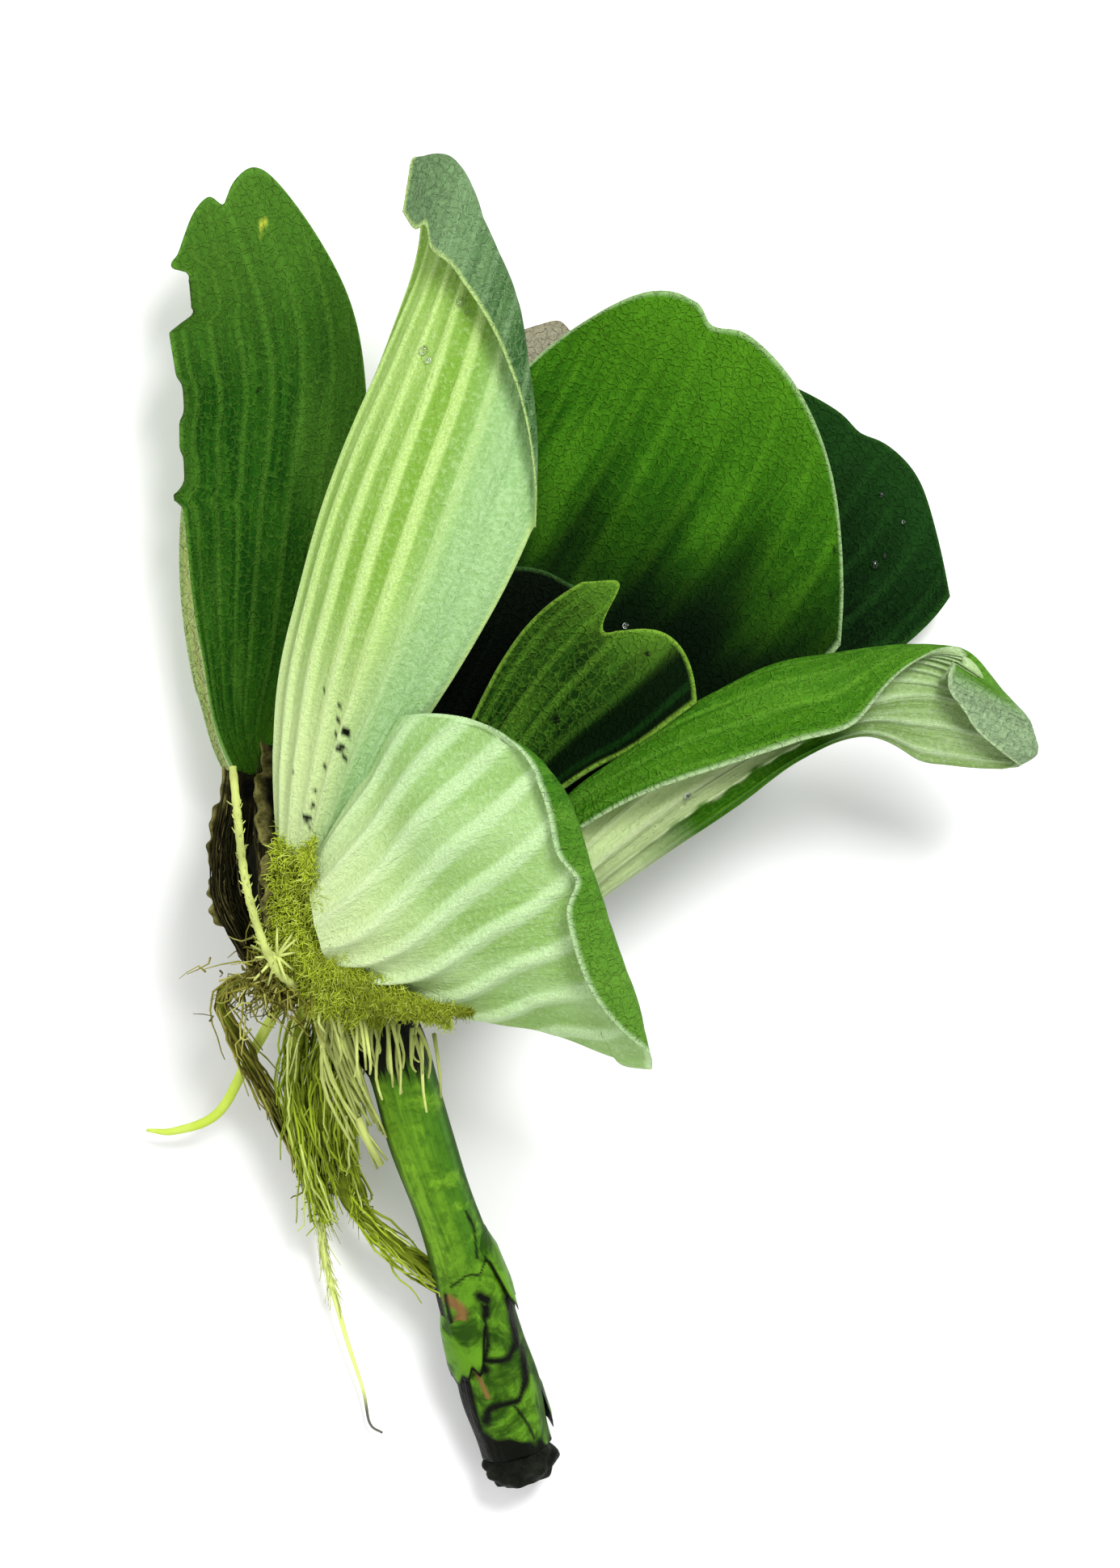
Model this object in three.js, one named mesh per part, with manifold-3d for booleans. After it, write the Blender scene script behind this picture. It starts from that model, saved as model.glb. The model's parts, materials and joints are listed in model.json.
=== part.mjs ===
// A water lettuce plant picked with its roots and a cut length of runner, lying on a flat surface.
// Units are millimetres and +Z is up. The plant lies in the XY plane: its leaves point to +Y and +X.
import * as THREE from 'three';
import Module from 'manifold-3d';
import { mergeVertices } from 'three/addons/utils/BufferGeometryUtils.js';

const wasm = await Module();
wasm.setup();

// Driving dimensions.
const gap = 0.3; // clear space between pieces that lie against each other
const leafBaseThickness = 3.2; // the spongy foot of a leaf
const leafMiddleThickness = 1.6;
const leafRimThickness = 0.7;
const foldRadius = 1.3; // of a leaf rim that is folded back
const leastFold = 0.2;
const crownLength = 27;
const crownWidth = 15;
const crownDepth = 18;
const stolonLength = 52;
const stolonDiameter = 6.4;
const stolonEndLength = 4.2;
const stolonEndDiameter = 7.2;
const skinThickness = 0.5; // loose skin on the runner
const skinLift = 0.9; // how far the free edge of a skin stands off the runner
const sheathThickness = 0.7;
const rootSpacing = 3.0; // between the roots of the bundle, where they leave the crown
const rootTipShare = 0.55; // how much closer together they lie at their tips
const fringeDiameter = 1.1;
const fringeLength = 8;
const paleRootDiameter = 0.9;
const brownRootDiameter = 2.0;
const linkRootDiameter = 2.2;
const longRootDiameter = 1.1;
const shootDiameter = 1.3;
const starReach = 3.4;
const starStrandDiameter = 0.8;

// Each leaf: `route` holds the midrib from the crown to the tip, stretched from its foot to `length`.
// `faces` is the way the upper side looks, from foot to tip. `width` is the blade's widest half, and
// `left` and `right` are its half-widths as shares of it, seen from the upper side with the tip up.
// `cup` is how far each half bends towards the upper side, in degrees, and `flat` squashes that bend.
// `tip` is how far each line of the blade reaches, from the left rim to the right, as a share of the
// length. `notch` is a cleft in the tip: its place across the blade from -1 to 1, its depth and its width.
// `fold` gives how much rim is folded back beyond that line, from left to right, and how far it turns.
const leaves = {
  leaf_front: {
    length: 30.2, width: 20, colour: 0xa9cf86,
    route: [[-25.5, -12, 27.5], [-17, -10.5, 32], [-9, -8.5, 37], [-2, -7.5, 40], [2, -7, 41]],
    faces: [[0.4, 0.4, -1], [0.4, 0.4, -1], [0.3, 0.3, -1]],
    left: [0.1, 0.48, 0.74, 0.86, 0.95, 0.98], right: [0.4, 0.78, 1.02, 1.12, 1.12, 1.05],
    cupLeft: [30, 25, 20], cupRight: [30, 30, 30],
    tip: [1, 0.97, 0.88, 0.75, 0.36], notch: [0.08, 1.6, 0.08],
    fold: { lengths: [0.5, 5.8, 6.2, 4.2, 0.3], turn: 165 },
  },
  leaf_tall: {
    length: 74, width: 12, colour: 0xb7d38c,
    route: [[-28, -4.5, 24], [-25.5, 8.5, 30], [-22, 20.5, 35], [-18, 33, 38], [-14, 44.5, 39],
      [-11, 54.5, 39], [-9, 64, 38]],
    faces: [[0.45, 0.1, -1], [0.45, 0.1, -1], [0.4, 0.1, -1], [0.3, 0.1, -1], [0.1, 0.1, -1]],
    left: [0.25, 0.6, 0.88, 1.08, 1.12, 0.98, 0.9, 0.9],
    right: [0.25, 0.6, 0.88, 0.95, 0.95, 0.75, 0.6, 0.6, 0.65],
    cupLeft: [20, 25, 30, 30, 30], cupRight: [40, 60, 75, 70, 50, 25],
    tip: [0.47, 0.72, 0.85, 0.945, 0.95], notch: [0.6, 1.6, 0.1],
    fold: { lengths: [2.4, 8, 9.8, 12.5, 8.5], turn: 165 },
  },
  leaf_right: {
    length: 74, width: 24, flat: 0.45, colour: 0x8fbf5a,
    route: [[-19, -18, 20], [-9, -13, 21], [0.5, -5, 22], [12, 3.4, 22], [23, 9, 22], [33, 11, 22],
      [44.5, 7, 21]],
    faces: [[0.1, 0.1, -1], [0.1, 0.1, -1], [0.1, 0.1, -1], [0.1, 0.1, -1]],
    left: [0.1, 0.12, 0.12, 0.12, 0.14, 0.15, 0.11, 0.12, 0.27, 0.26, 0.14],
    right: [0.1, 0.2, 0.42, 0.66, 0.85, 0.95, 0.95, 0.87, 0.49, 0.19, 0.1],
    cupLeft: [30, 20, 20, 10], cupRight: [-100, -110, -125, -140, -155, -173, -184, -186, -133, -45, -20],
    tip: [0.95, 0.97, 0.955, 0.93, 0.84], notch: [-0.1, 0.5, 0.1],
    fold: { lengths: [0.6, 7, 12, 12, 5], turn: 165 },
  },
  leaf_heart: {
    length: 44, width: 11, colour: 0x3f6f22,
    route: [[-23, -12, 19], [-14, -0.5, 20], [-9, 5, 21], [-4.5, 10.5, 21], [0.5, 16, 22], [5, 21, 22]],
    faces: [[0, 0.2, 1], [0, 0.2, 1], [0, 0.2, 1]],
    left: [0.2, 0.27, 0.45, 0.6, 0.62, 0.45], right: [0.2, 0.27, 0.64, 0.85, 1.05, 1.15],
    cupLeft: [50, 50, 30], cupRight: [50, 50, 30],
    tip: [0.9, 1, 0.97, 0.95, 0.86], notch: [-0.16, 6.4, 0.3],
  },
  leaf_heart_side: {
    length: 40.5, width: 6, colour: 0x2b3f1c,
    route: [[-23, -12, 17], [-15.5, 0.5, 18], [-11.5, 10, 18], [-7.5, 17.5, 17], [-5, 24.5, 17]],
    faces: [[0, 0, 1], [0, 0, 1], [0, 0, 1]],
    left: [0.4, 0.6, 0.85, 1, 1, 0.9], right: [0.4, 0.6, 0.85, 1, 1, 0.9],
    cupLeft: [50, 50, 40], cupRight: [50, 50, 40],
    tip: [0.94, 0.98, 1, 0.99, 0.97], notch: [0, 0, 0.1],
  },
  leaf_broad: {
    length: 68, width: 25, colour: 0x2f7d1f,
    route: [[-23.5, -7, 16], [-14, 7, 14], [-4.5, 20, 12], [4.5, 35, 12], [12, 49, 16]],
    faces: [[0, 0, 1], [0, 0, 1], [0, 0, 1]],
    left: [0.12, 0.36, 0.6, 0.74, 0.76, 0.76], right: [0.12, 0.4, 0.78, 1.05, 1.12, 1.04],
    cupLeft: [30, 30, 30], cupRight: [30, 25, 20],
    tip: [0.64, 0.95, 1, 0.93, 0.66], notch: [0, 1.4, 0.08],
  },
  leaf_dark: {
    length: 73, width: 17, colour: 0x12401a,
    route: [[-24.5, -9, 15], [-11, 4.5, 8.5], [4, 17, 5], [18, 29.5, 4], [26.5, 38.5, 5]],
    faces: [[0, 0, 1], [0, 0, 1], [0, 0, 1]],
    left: [0.18, 0.47, 0.85, 1.1, 1.2, 1.08], right: [0.18, 0.47, 0.82, 1, 1.1, 0.95],
    cupLeft: [15, 10, 10], cupRight: [15, 10, 10],
    tip: [0.83, 0.94, 0.985, 0.985, 0.85], notch: [0.02, 0.8, 0.1],
  },
  leaf_withered: {
    length: 63, width: 8, colour: 0x9a8d6e,
    route: [[-25, -8, 14], [-17.5, 8.5, 7.5], [-12, 23.5, 6], [-7, 36.5, 7], [-4, 48, 8]],
    faces: [[0, 0, 1], [0, 0, 1], [0, 0, 1]],
    left: [0.25, 0.6, 0.85, 1, 0.75, 0.5], right: [0.25, 0.6, 0.85, 1, 0.75, 0.4],
    cupLeft: [20, 20, 20], cupRight: [20, 20, 20],
    tip: [0.95, 0.98, 1, 0.98, 0.96], notch: [0, 0, 0.1],
  },
  leaf_left: {
    length: 68.2, width: 10.5, colour: 0x2f7a2a,
    route: [[-30, -2, 14], [-34.5, 6.5, 13], [-34.5, 16.5, 12], [-33.5, 29.5, 13], [-32.5, 45, 15],
      [-37.4, 62.5, 16]],
    faces: [[0.25, 0, 1], [0.1, 0, 1], [0, 0, 1], [0, 0.1, 1]],
    left: [0.15, 0.19, 0.32, 0.52, 0.7, 0.85, 0.88, 0.6],
    right: [0.15, 0.19, 0.5, 0.76, 0.88, 0.96, 1.08, 1.02],
    cupLeft: [30, 25, 20, 15, 10], cupRight: [30, 25, 20, 15, 15],
    tip: [0.9, 0.965, 0.98, 0.972, 0.72], notch: [-0.05, 1, 0.1],
  },
  leaf_left_under: {
    length: 53, width: 8, colour: 0xa8c25a,
    route: [[-27, -7, 14], [-34, 5, 8.5], [-34.5, 15, 6], [-34.5, 26.5, 5], [-34, 40, 4.5],
      [-33.5, 49.5, 5]],
    faces: [[0, 0, 1], [0, 0, 1], [0, 0, 1]],
    left: [0.2, 0.3, 0.62, 0.88, 1.02, 1.05, 0.96, 0.8], right: [0.2, 0.3, 0.56, 0.85, 1, 1, 0.94, 0.8],
    cupLeft: [20, 15, 10], cupRight: [20, 15, 10],
    tip: [0.78, 0.96, 1, 0.96, 0.78], notch: [0, 1, 0.1],
  },
};
const leafColumns = 10;
const leafRows = 10;
const foldRows = 4;

// Where the other pieces start and how they run.
const crownCentre = [-25.5, -11, 20];
const crownLean = -63; // degrees from +X to the crown's long axis
const stolonRoute = [[-23, -17, 18], [-19.5, -24.5, 16], [-17, -33.5, 13], [-13, -45.5, 9], [-10, -56, 6],
  [-7, -67, 3.6]];
const sheathRoute = [[-31, -19, 19], [-34, -10.5, 23], [-35, -3, 22], [-34.5, 5.5, 17]];
const sheathWidths = [1.5, 4, 4.2, 3.2];
const paleRootRoute = [[-29, -17.5, 24], [-31.5, -14.5, 28.5], [-34, -7, 28], [-35.5, 4.5, 25]];
const brownRootRoute = [[-29, -15, 16], [-37, -18, 15], [-35.5, -23.5, 11], [-31.5, -31, 7], [-28.5, -38, 4]];
const linkRootRoute = [[-25.5, -36, 9], [-24.5, -39.5, 7], [-21.5, -42.5, 6.5], [-18, -45.5, 7.5],
  [-14, -47.5, 9]];
const longRootRoute = [[-27.5, -36, 4.5], [-27.5, -44, 3.5], [-25.5, -52.5, 2.4], [-23.5, -59, 1.6],
  [-22.8, -62.5, 1.2], [-21.5, -63.5, 1.2]];
const shootRoute = [[-29, -15, 14], [-34.5, -24.5, 9], [-38, -30.5, 6], [-42.5, -32.5, 3.5],
  [-45.5, -32.5, 2.5]];
const bundleRoute = [[-25, -17, 16], [-27.5, -26, 13], [-27, -33.5, 10], [-25.5, -41, 7]];
const bundleColumns = 3;
const bundleRows = 2;
const fringeStart = [-26, -18, 23];
const fringeStep = [2, -0.9, -0.4];
const fringeCount = 5;
const starCentre = [-31, -14, 28];
const starStrands = 7;

const olive = 0x8f8f2c;
const rootGreen = 0x8e9a3c;

function material(colour, roughness = 0.75) {
  return new THREE.MeshStandardMaterial({ color: colour, roughness, metalness: 0 });
}

// A smooth curve through points, and a smooth run of values: both take a share from 0 to 1.
function curve(points) {
  return new THREE.CatmullRomCurve3(points.map((p) => new THREE.Vector3(...p)), false, 'catmullrom', 0.5);
}

function ramp(values) {
  const line = curve(values.map((value) => [value, 0, 0]));
  return (share) => line.getPoint(THREE.MathUtils.clamp(share, 0, 1)).x;
}

// A route stretched from its first point until it has the wanted length.
function stretched(route, length) {
  const scale = length / curve(route).getLength();
  const foot = route[0];
  return curve(route.map((point) => point.map((value, axis) => foot[axis] + (value - foot[axis]) * scale)));
}

// The closed skin around a grid of points that has a front and a back face.
function slab(rows, columns, pointAt) {
  const positions = [];
  const triangles = [];
  const across = columns + 1;
  const faceSize = (rows + 1) * across;
  for (const side of [0, 1]) {
    for (let row = 0; row <= rows; row += 1) {
      for (let column = 0; column <= columns; column += 1) {
        positions.push(...pointAt(row, column, side).toArray());
      }
    }
  }
  const quad = (a, b, c, d) => triangles.push(a, b, c, a, c, d);
  for (let row = 0; row < rows; row += 1) {
    for (let column = 0; column < columns; column += 1) {
      const a = row * across + column;
      quad(a, a + 1, a + across + 1, a + across);
      quad(a + faceSize, a + across + faceSize, a + across + 1 + faceSize, a + 1 + faceSize);
    }
  }
  for (let column = 0; column < columns; column += 1) {
    const far = rows * across + column;
    quad(column, column + faceSize, column + 1 + faceSize, column + 1);
    quad(far, far + 1, far + 1 + faceSize, far + faceSize);
  }
  for (let row = 0; row < rows; row += 1) {
    const left = row * across;
    const right = left + columns;
    quad(left, left + across, left + across + faceSize, left + faceSize);
    quad(right, right + faceSize, right + across + faceSize, right + across);
  }
  return geometryOf(positions, triangles);
}

function geometryOf(positions, triangles) {
  const geometry = new THREE.BufferGeometry();
  geometry.setAttribute('position', new THREE.Float32BufferAttribute(positions, 3));
  geometry.setIndex(triangles);
  return geometry;
}

// A round rod along a curve, closed at both ends, with its diameter at each share of the length.
function rod(route, diameterAt, steps, sides) {
  const frames = route.computeFrenetFrames(steps, false);
  const positions = [];
  const triangles = [];
  for (let step = 0; step <= steps; step += 1) {
    const centre = route.getPointAt(step / steps);
    const radius = diameterAt(step / steps) / 2;
    for (let side = 0; side < sides; side += 1) {
      const angle = (2 * Math.PI * side) / sides;
      const point = centre.clone();
      point.addScaledVector(frames.normals[step], radius * Math.cos(angle));
      point.addScaledVector(frames.binormals[step], radius * Math.sin(angle));
      positions.push(...point.toArray());
    }
  }
  for (let step = 0; step < steps; step += 1) {
    for (let side = 0; side < sides; side += 1) {
      const a = step * sides + side;
      const b = step * sides + ((side + 1) % sides);
      triangles.push(a, b, b + sides, a, b + sides, a + sides);
    }
  }
  for (let side = 1; side < sides - 1; side += 1) {
    const last = steps * sides;
    triangles.push(0, side + 1, side, last, last + side, last + side + 1);
  }
  return geometryOf(positions, triangles);
}

// A leaf's blade as a solid: `grow` makes it that much bigger all round.
function leafGeometry(leaf, grow = 0) {
  const midrib = stretched(leaf.route, leaf.length);
  const faces = curve(leaf.faces);
  const halves = [
    { share: ramp(leaf.left), cup: ramp(leaf.cupLeft), sign: -1 },
    { share: ramp(leaf.right), cup: ramp(leaf.cupRight), sign: 1 },
  ];
  const tip = ramp(leaf.tip);
  const foldLength = ramp(leaf.fold ? leaf.fold.lengths : [0, 0]);
  const foldTurn = THREE.MathUtils.degToRad(leaf.fold ? leaf.fold.turn : 0);

  function sheet(u, s) {
    const half = halves[u < 0 ? 0 : 1];
    const width = Math.max(half.share(s), 0.05) * leaf.width + grow;
    const bend = THREE.MathUtils.degToRad(half.cup(s)) / width;
    const angle = bend * Math.abs(u) * width;
    const tangent = midrib.getPoint(Math.min(s + 0.01, 1));
    tangent.sub(midrib.getPoint(Math.max(s - 0.01, 0))).normalize();
    const face = faces.getPoint(s);
    face.addScaledVector(tangent, -face.dot(tangent)).normalize();
    const side = new THREE.Vector3().crossVectors(tangent, face);
    const point = midrib.getPoint(s);
    point.addScaledVector(side, (half.sign * Math.sin(angle)) / bend);
    return point.addScaledVector(face, ((1 - Math.cos(angle)) * (leaf.flat ?? 1)) / bend);
  }

  function frame(u, s) {
    const point = sheet(u, s);
    const along = point.clone().sub(sheet(u, s - 0.01)).normalize();
    const across = sheet(Math.min(u + 0.02, 1), s).sub(sheet(Math.max(u - 0.02, -1), s)).normalize();
    return { point, along, out: new THREE.Vector3().crossVectors(across, along).normalize() };
  }

  function thickness(u, s) {
    const stations = [leafBaseThickness, leafMiddleThickness, leafMiddleThickness * 0.7, leafRimThickness];
    const middle = ramp(stations)(s);
    return leafRimThickness + Math.max(middle - leafRimThickness, 0) * (1 - u * u);
  }

  function pointAt(row, column, side) {
    const u = (2 * column) / leafColumns - 1;
    const [notchPlace, notchDepth, notchWidth] = leaf.notch;
    const cleft = notchDepth * Math.exp(-(((u - notchPlace) / notchWidth) ** 2));
    const reach = tip((u + 1) / 2) + (grow - (leaf.fold ? 0 : cleft)) / leaf.length;
    const foldReach = Math.max(foldLength((u + 1) / 2) - cleft, leastFold) + grow;
    const s = reach * Math.min(row / leafRows, 1);
    const { point, along, out } = frame(u, Math.max(s, 0.011));
    const folded = (Math.max(row - leafRows, 0) / foldRows) * foldReach;
    const curled = Math.min(folded, foldRadius * foldTurn);
    const angle = curled / foldRadius;
    const straight = folded - curled;
    point.addScaledVector(along, foldRadius * Math.sin(angle) + straight * Math.cos(angle));
    point.addScaledVector(out, -foldRadius * (1 - Math.cos(angle)) - straight * Math.sin(angle));
    const outward = out.multiplyScalar(Math.cos(angle)).addScaledVector(along, Math.sin(angle));
    return point.addScaledVector(outward, side === 0 ? grow : -thickness(u, s) - grow);
  }

  return slab(leafRows + (leaf.fold ? foldRows : 0), leafColumns, pointAt);
}

// The short stem that every leaf and root grows from.
function crownGeometry(grow = 0) {
  const geometry = new THREE.SphereGeometry(1, 20, 12);
  geometry.scale(crownLength / 2 + grow, crownWidth / 2 + grow, crownDepth / 2 + grow);
  geometry.rotateZ(THREE.MathUtils.degToRad(crownLean));
  return geometry.translate(...crownCentre);
}

// The cut runner, and the point and directions at a share of its length.
const stolon = stretched(stolonRoute, stolonLength);

function stolonGeometry(grow = 0) {
  return rod(stolon, () => stolonDiameter + 2 * grow, 14, 14);
}

// The black rotten end: a swollen plug past the end of the runner.
function stolonEndGeometry() {
  const from = stolon.getPointAt(1);
  const heading = stolon.getTangentAt(1);
  const start = from.clone().addScaledVector(heading, gap);
  const end = from.clone().addScaledVector(heading, gap + stolonEndLength);
  const widest = stolonEndDiameter;
  const rounding = ramp([stolonDiameter, widest, widest * 0.95, widest * 0.55]);
  return rod(new THREE.LineCurve3(start, end), rounding, 6, 14);
}

// A loose skin around part of the runner: it clings at its upper edge and stands off at its lower one.
function skinGeometry(from, to, turn, spread) {
  const steps = 5;
  const columns = 10;
  const frames = stolon.computeFrenetFrames(60, false);
  return slab(steps, columns, (row, column, side) => {
    const share = from + ((to - from) * row) / steps;
    const index = Math.round(share * 60);
    const angle = THREE.MathUtils.degToRad(turn + spread * (column / columns - 0.5));
    const lift = skinLift * (row / steps) ** 2;
    const radius = stolonDiameter / 2 + gap + lift + (side === 0 ? skinThickness : 0);
    const point = stolon.getPointAt(share);
    point.addScaledVector(frames.normals[index], radius * Math.cos(angle));
    return point.addScaledVector(frames.binormals[index], radius * Math.sin(angle));
  });
}
const skins = [
  { name: 'stolon_skin_top', from: 0.55, to: 0.7, turn: 200, spread: 150 },
  { name: 'stolon_skin_middle', from: 0.68, to: 0.82, turn: 20, spread: 170 },
  { name: 'stolon_skin_low', from: 0.84, to: 0.97, turn: 250, spread: 190 },
];

// What is left of an old leaf's foot: a trough that opens to the left.
function sheathGeometry(grow = 0) {
  const route = curve(sheathRoute);
  const width = ramp(sheathWidths);
  const steps = 8;
  const columns = 8;
  return slab(steps, columns, (row, column, side) => {
    const share = row / steps;
    const tangent = route.getTangentAt(share);
    const open = new THREE.Vector3(-0.75, 0, 0.65);
    open.addScaledVector(tangent, -open.dot(tangent)).normalize();
    const across = new THREE.Vector3().crossVectors(tangent, open);
    const angle = THREE.MathUtils.degToRad(200 * (column / columns - 0.5));
    const radius = width(share) + (side === 0 ? -grow : sheathThickness + grow);
    const point = route.getPointAt(share);
    point.addScaledVector(across, radius * Math.sin(angle));
    return point.addScaledVector(open, -radius * Math.cos(angle));
  });
}

// One root of the bundle, which lie side by side and draw together towards their tips.
function bundleRoot(column, row, end) {
  const bundle = curve(bundleRoute);
  const points = [];
  for (let step = 0; step <= 4; step += 1) {
    const share = (end * step) / 4;
    const spacing = rootSpacing * (1 - (1 - rootTipShare) * share);
    const point = bundle.getPoint(share);
    points.push([
      point.x + (column - (bundleColumns - 1) / 2) * spacing,
      point.y,
      point.z + (row - (bundleRows - 1) / 2) * spacing,
    ]);
  }
  const diameterAt = (share) => rootSpacing * (1 - (1 - rootTipShare) * end * share) * 0.8 - gap;
  return rod(curve(points), diameterAt, 8, 8);
}

// A short root of the fringe under the crown, hanging in front of the runner.
function fringeRoot(index) {
  const start = fringeStart.map((value, axis) => value + index * fringeStep[axis]);
  const reach = fringeLength * (1 - 0.12 * (index % 2));
  const points = [start, [start[0] + 0.3, start[1] - reach / 2, start[2] + 0.4],
    [start[0] + 0.8, start[1] - reach, start[2] - 1.2]];
  return rod(curve(points), ramp([fringeDiameter, fringeDiameter, fringeDiameter * 0.5]), 6, 8);
}

// A tuft of pale strands that spread from one point.
function starSolid() {
  const strands = [];
  for (let strand = 0; strand < starStrands; strand += 1) {
    const angle = (2 * Math.PI * strand) / starStrands;
    const tip = [starCentre[0] + starReach * Math.cos(angle), starCentre[1] + starReach * Math.sin(angle),
      starCentre[2] - 0.6];
    const line = curve([starCentre, tip]);
    strands.push(solid(rod(line, ramp([starStrandDiameter, starStrandDiameter * 0.5]), 2, 6)));
  }
  return strands.reduce((joined, strand) => joined.add(strand));
}

// Conversions between three.js geometry and solids that can be cut.
function solid(geometry) {
  geometry.deleteAttribute('normal');
  geometry.deleteAttribute('uv');
  const merged = mergeVertices(geometry, 1e-4);
  const mesh = new wasm.Mesh({
    numProp: 3,
    vertProperties: new Float32Array(merged.attributes.position.array),
    triVerts: new Uint32Array(merged.index.array),
  });
  return new wasm.Manifold(mesh);
}

function geometryFrom(body) {
  const mesh = body.getMesh();
  const geometry = geometryOf(Array.from(mesh.vertProperties), Array.from(mesh.triVerts));
  geometry.computeVertexNormals();
  return geometry;
}

function biggestBody(body) {
  return body.decompose().reduce((best, one) => (one.volume() > best.volume() ? one : best));
}

// Pieces are added in order, and each is cut clear of the ones before it.
const plant = new THREE.Group();
const keptClear = [];

function addPiece(name, body, grown, look) {
  const cut = biggestBody(keptClear.reduce((rest, other) => rest.subtract(other), body));
  const mesh = new THREE.Mesh(geometryFrom(cut), look);
  mesh.name = name;
  plant.add(mesh);
  keptClear.push(grown);
}

function addRod(name, points, diameterAt, steps, look) {
  const route = curve(points);
  const grown = rod(route, (share) => diameterAt(share) + 2 * gap, steps, 8);
  addPiece(name, solid(rod(route, diameterAt, steps, 8)), solid(grown), look);
}

addPiece('crown', solid(crownGeometry()), solid(crownGeometry(gap)), material(olive, 0.9));
addPiece('stolon', solid(stolonGeometry()), solid(stolonGeometry(gap * 0.9)), material(0x3f7d1e, 0.55));
for (const [name, leaf] of Object.entries(leaves)) {
  addPiece(name, solid(leafGeometry(leaf)), solid(leafGeometry(leaf, gap)), material(leaf.colour));
}
addPiece('sheath', solid(sheathGeometry()), solid(sheathGeometry(gap)), material(0x3a2a18, 0.9));
for (const { name, from, to, turn, spread } of skins) {
  const skin = solid(skinGeometry(from, to, turn, spread));
  addPiece(name, skin, skin, material(0x1d2a12, 0.6));
}
const stolonEnd = solid(stolonEndGeometry());
addPiece('stolon_end', stolonEnd, stolonEnd, material(0x0d0f0a, 0.8));
addRod('link_root', linkRootRoute, ramp([linkRootDiameter, linkRootDiameter, linkRootDiameter * 0.6]), 8,
  material(0x8a8438));
const bundleEnds = [0.9, 1, 0.85, 0.8, 0.95, 0.75];
for (let column = 0; column < bundleColumns; column += 1) {
  for (let row = 0; row < bundleRows; row += 1) {
    const order = column * bundleRows + row;
    const root = solid(bundleRoot(column, row, bundleEnds[order]));
    addPiece(`root_${order + 1}`, root, root, material(rootGreen));
  }
}
for (let index = 0; index < fringeCount; index += 1) {
  const root = solid(fringeRoot(index));
  addPiece(`fringe_root_${index + 1}`, root, root, material(0xa9ab6a));
}
addRod('brown_root', brownRootRoute, ramp([brownRootDiameter, brownRootDiameter, brownRootDiameter * 0.5]), 8,
  material(0x7a6f3a));
addRod('long_root', longRootRoute, ramp([longRootDiameter, longRootDiameter, longRootDiameter * 0.6]), 10,
  material(0xa3a65c));
addRod('young_shoot', shootRoute, ramp([shootDiameter, shootDiameter, shootDiameter * 0.8]), 8,
  material(0xb7da3c, 0.5));
addPiece('root_star', starSolid(), starSolid(), material(0xb9b96c));
addRod('pale_root', paleRootRoute, ramp([paleRootDiameter, paleRootDiameter, paleRootDiameter * 0.8]), 8,
  material(0xc9cf8e));

// The plant's box stands on z = 0 with its middle over the origin.
const box = new THREE.Box3().setFromObject(plant, true);
const middle = box.getCenter(new THREE.Vector3());
plant.position.set(-middle.x, -middle.y, -box.min.z);
const lettuce = new THREE.Group();
lettuce.add(plant);

export default lettuce;
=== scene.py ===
"""A water lettuce plant, picked with its roots and a cut length of runner, lying on a pale table."""

import json
import math

import bmesh
import bpy
import numpy as np
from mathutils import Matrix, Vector


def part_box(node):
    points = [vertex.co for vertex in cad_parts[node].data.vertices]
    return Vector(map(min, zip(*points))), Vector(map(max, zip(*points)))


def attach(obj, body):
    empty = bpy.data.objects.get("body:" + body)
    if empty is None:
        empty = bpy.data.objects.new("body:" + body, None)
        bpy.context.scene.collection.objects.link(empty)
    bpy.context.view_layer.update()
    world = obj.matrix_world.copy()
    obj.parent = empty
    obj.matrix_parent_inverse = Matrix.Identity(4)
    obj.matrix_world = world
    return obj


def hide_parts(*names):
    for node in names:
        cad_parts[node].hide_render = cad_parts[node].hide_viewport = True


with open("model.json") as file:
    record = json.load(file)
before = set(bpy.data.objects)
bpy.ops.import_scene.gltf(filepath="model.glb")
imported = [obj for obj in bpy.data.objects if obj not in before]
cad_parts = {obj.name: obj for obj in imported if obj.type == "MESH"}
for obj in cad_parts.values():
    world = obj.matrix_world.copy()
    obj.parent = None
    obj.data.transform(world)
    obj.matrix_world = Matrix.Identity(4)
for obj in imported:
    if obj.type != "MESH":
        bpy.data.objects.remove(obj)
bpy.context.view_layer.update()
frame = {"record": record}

bl_info = {
    "name": "Water lettuce",
    "version": (1, 0, 0),
    "blender": (4, 5, 0),
    "location": "3D View > Sidebar > Water lettuce",
    "description": "Builds a picked water lettuce plant around its solid model",
    "category": "Add Mesh",
}

# Lengths below are in millimetres, in the plant's own layout, and are turned to metres as they are used.
MM = 0.001
CROWN_CENTRE = np.array([-25.5, -11, 20])
CROWN_SIZE = np.array([27, 15, 18])
CROWN_LEAN = math.radians(-63)
# How far the crown's flatter side reaches, against its other side.
CROWN_FLATTER = 0.8
crown_low, crown_high = (np.array(corner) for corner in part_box("crown"))
OFFSET = (crown_low + crown_high) / 2 / MM - CROWN_CENTRE

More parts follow.
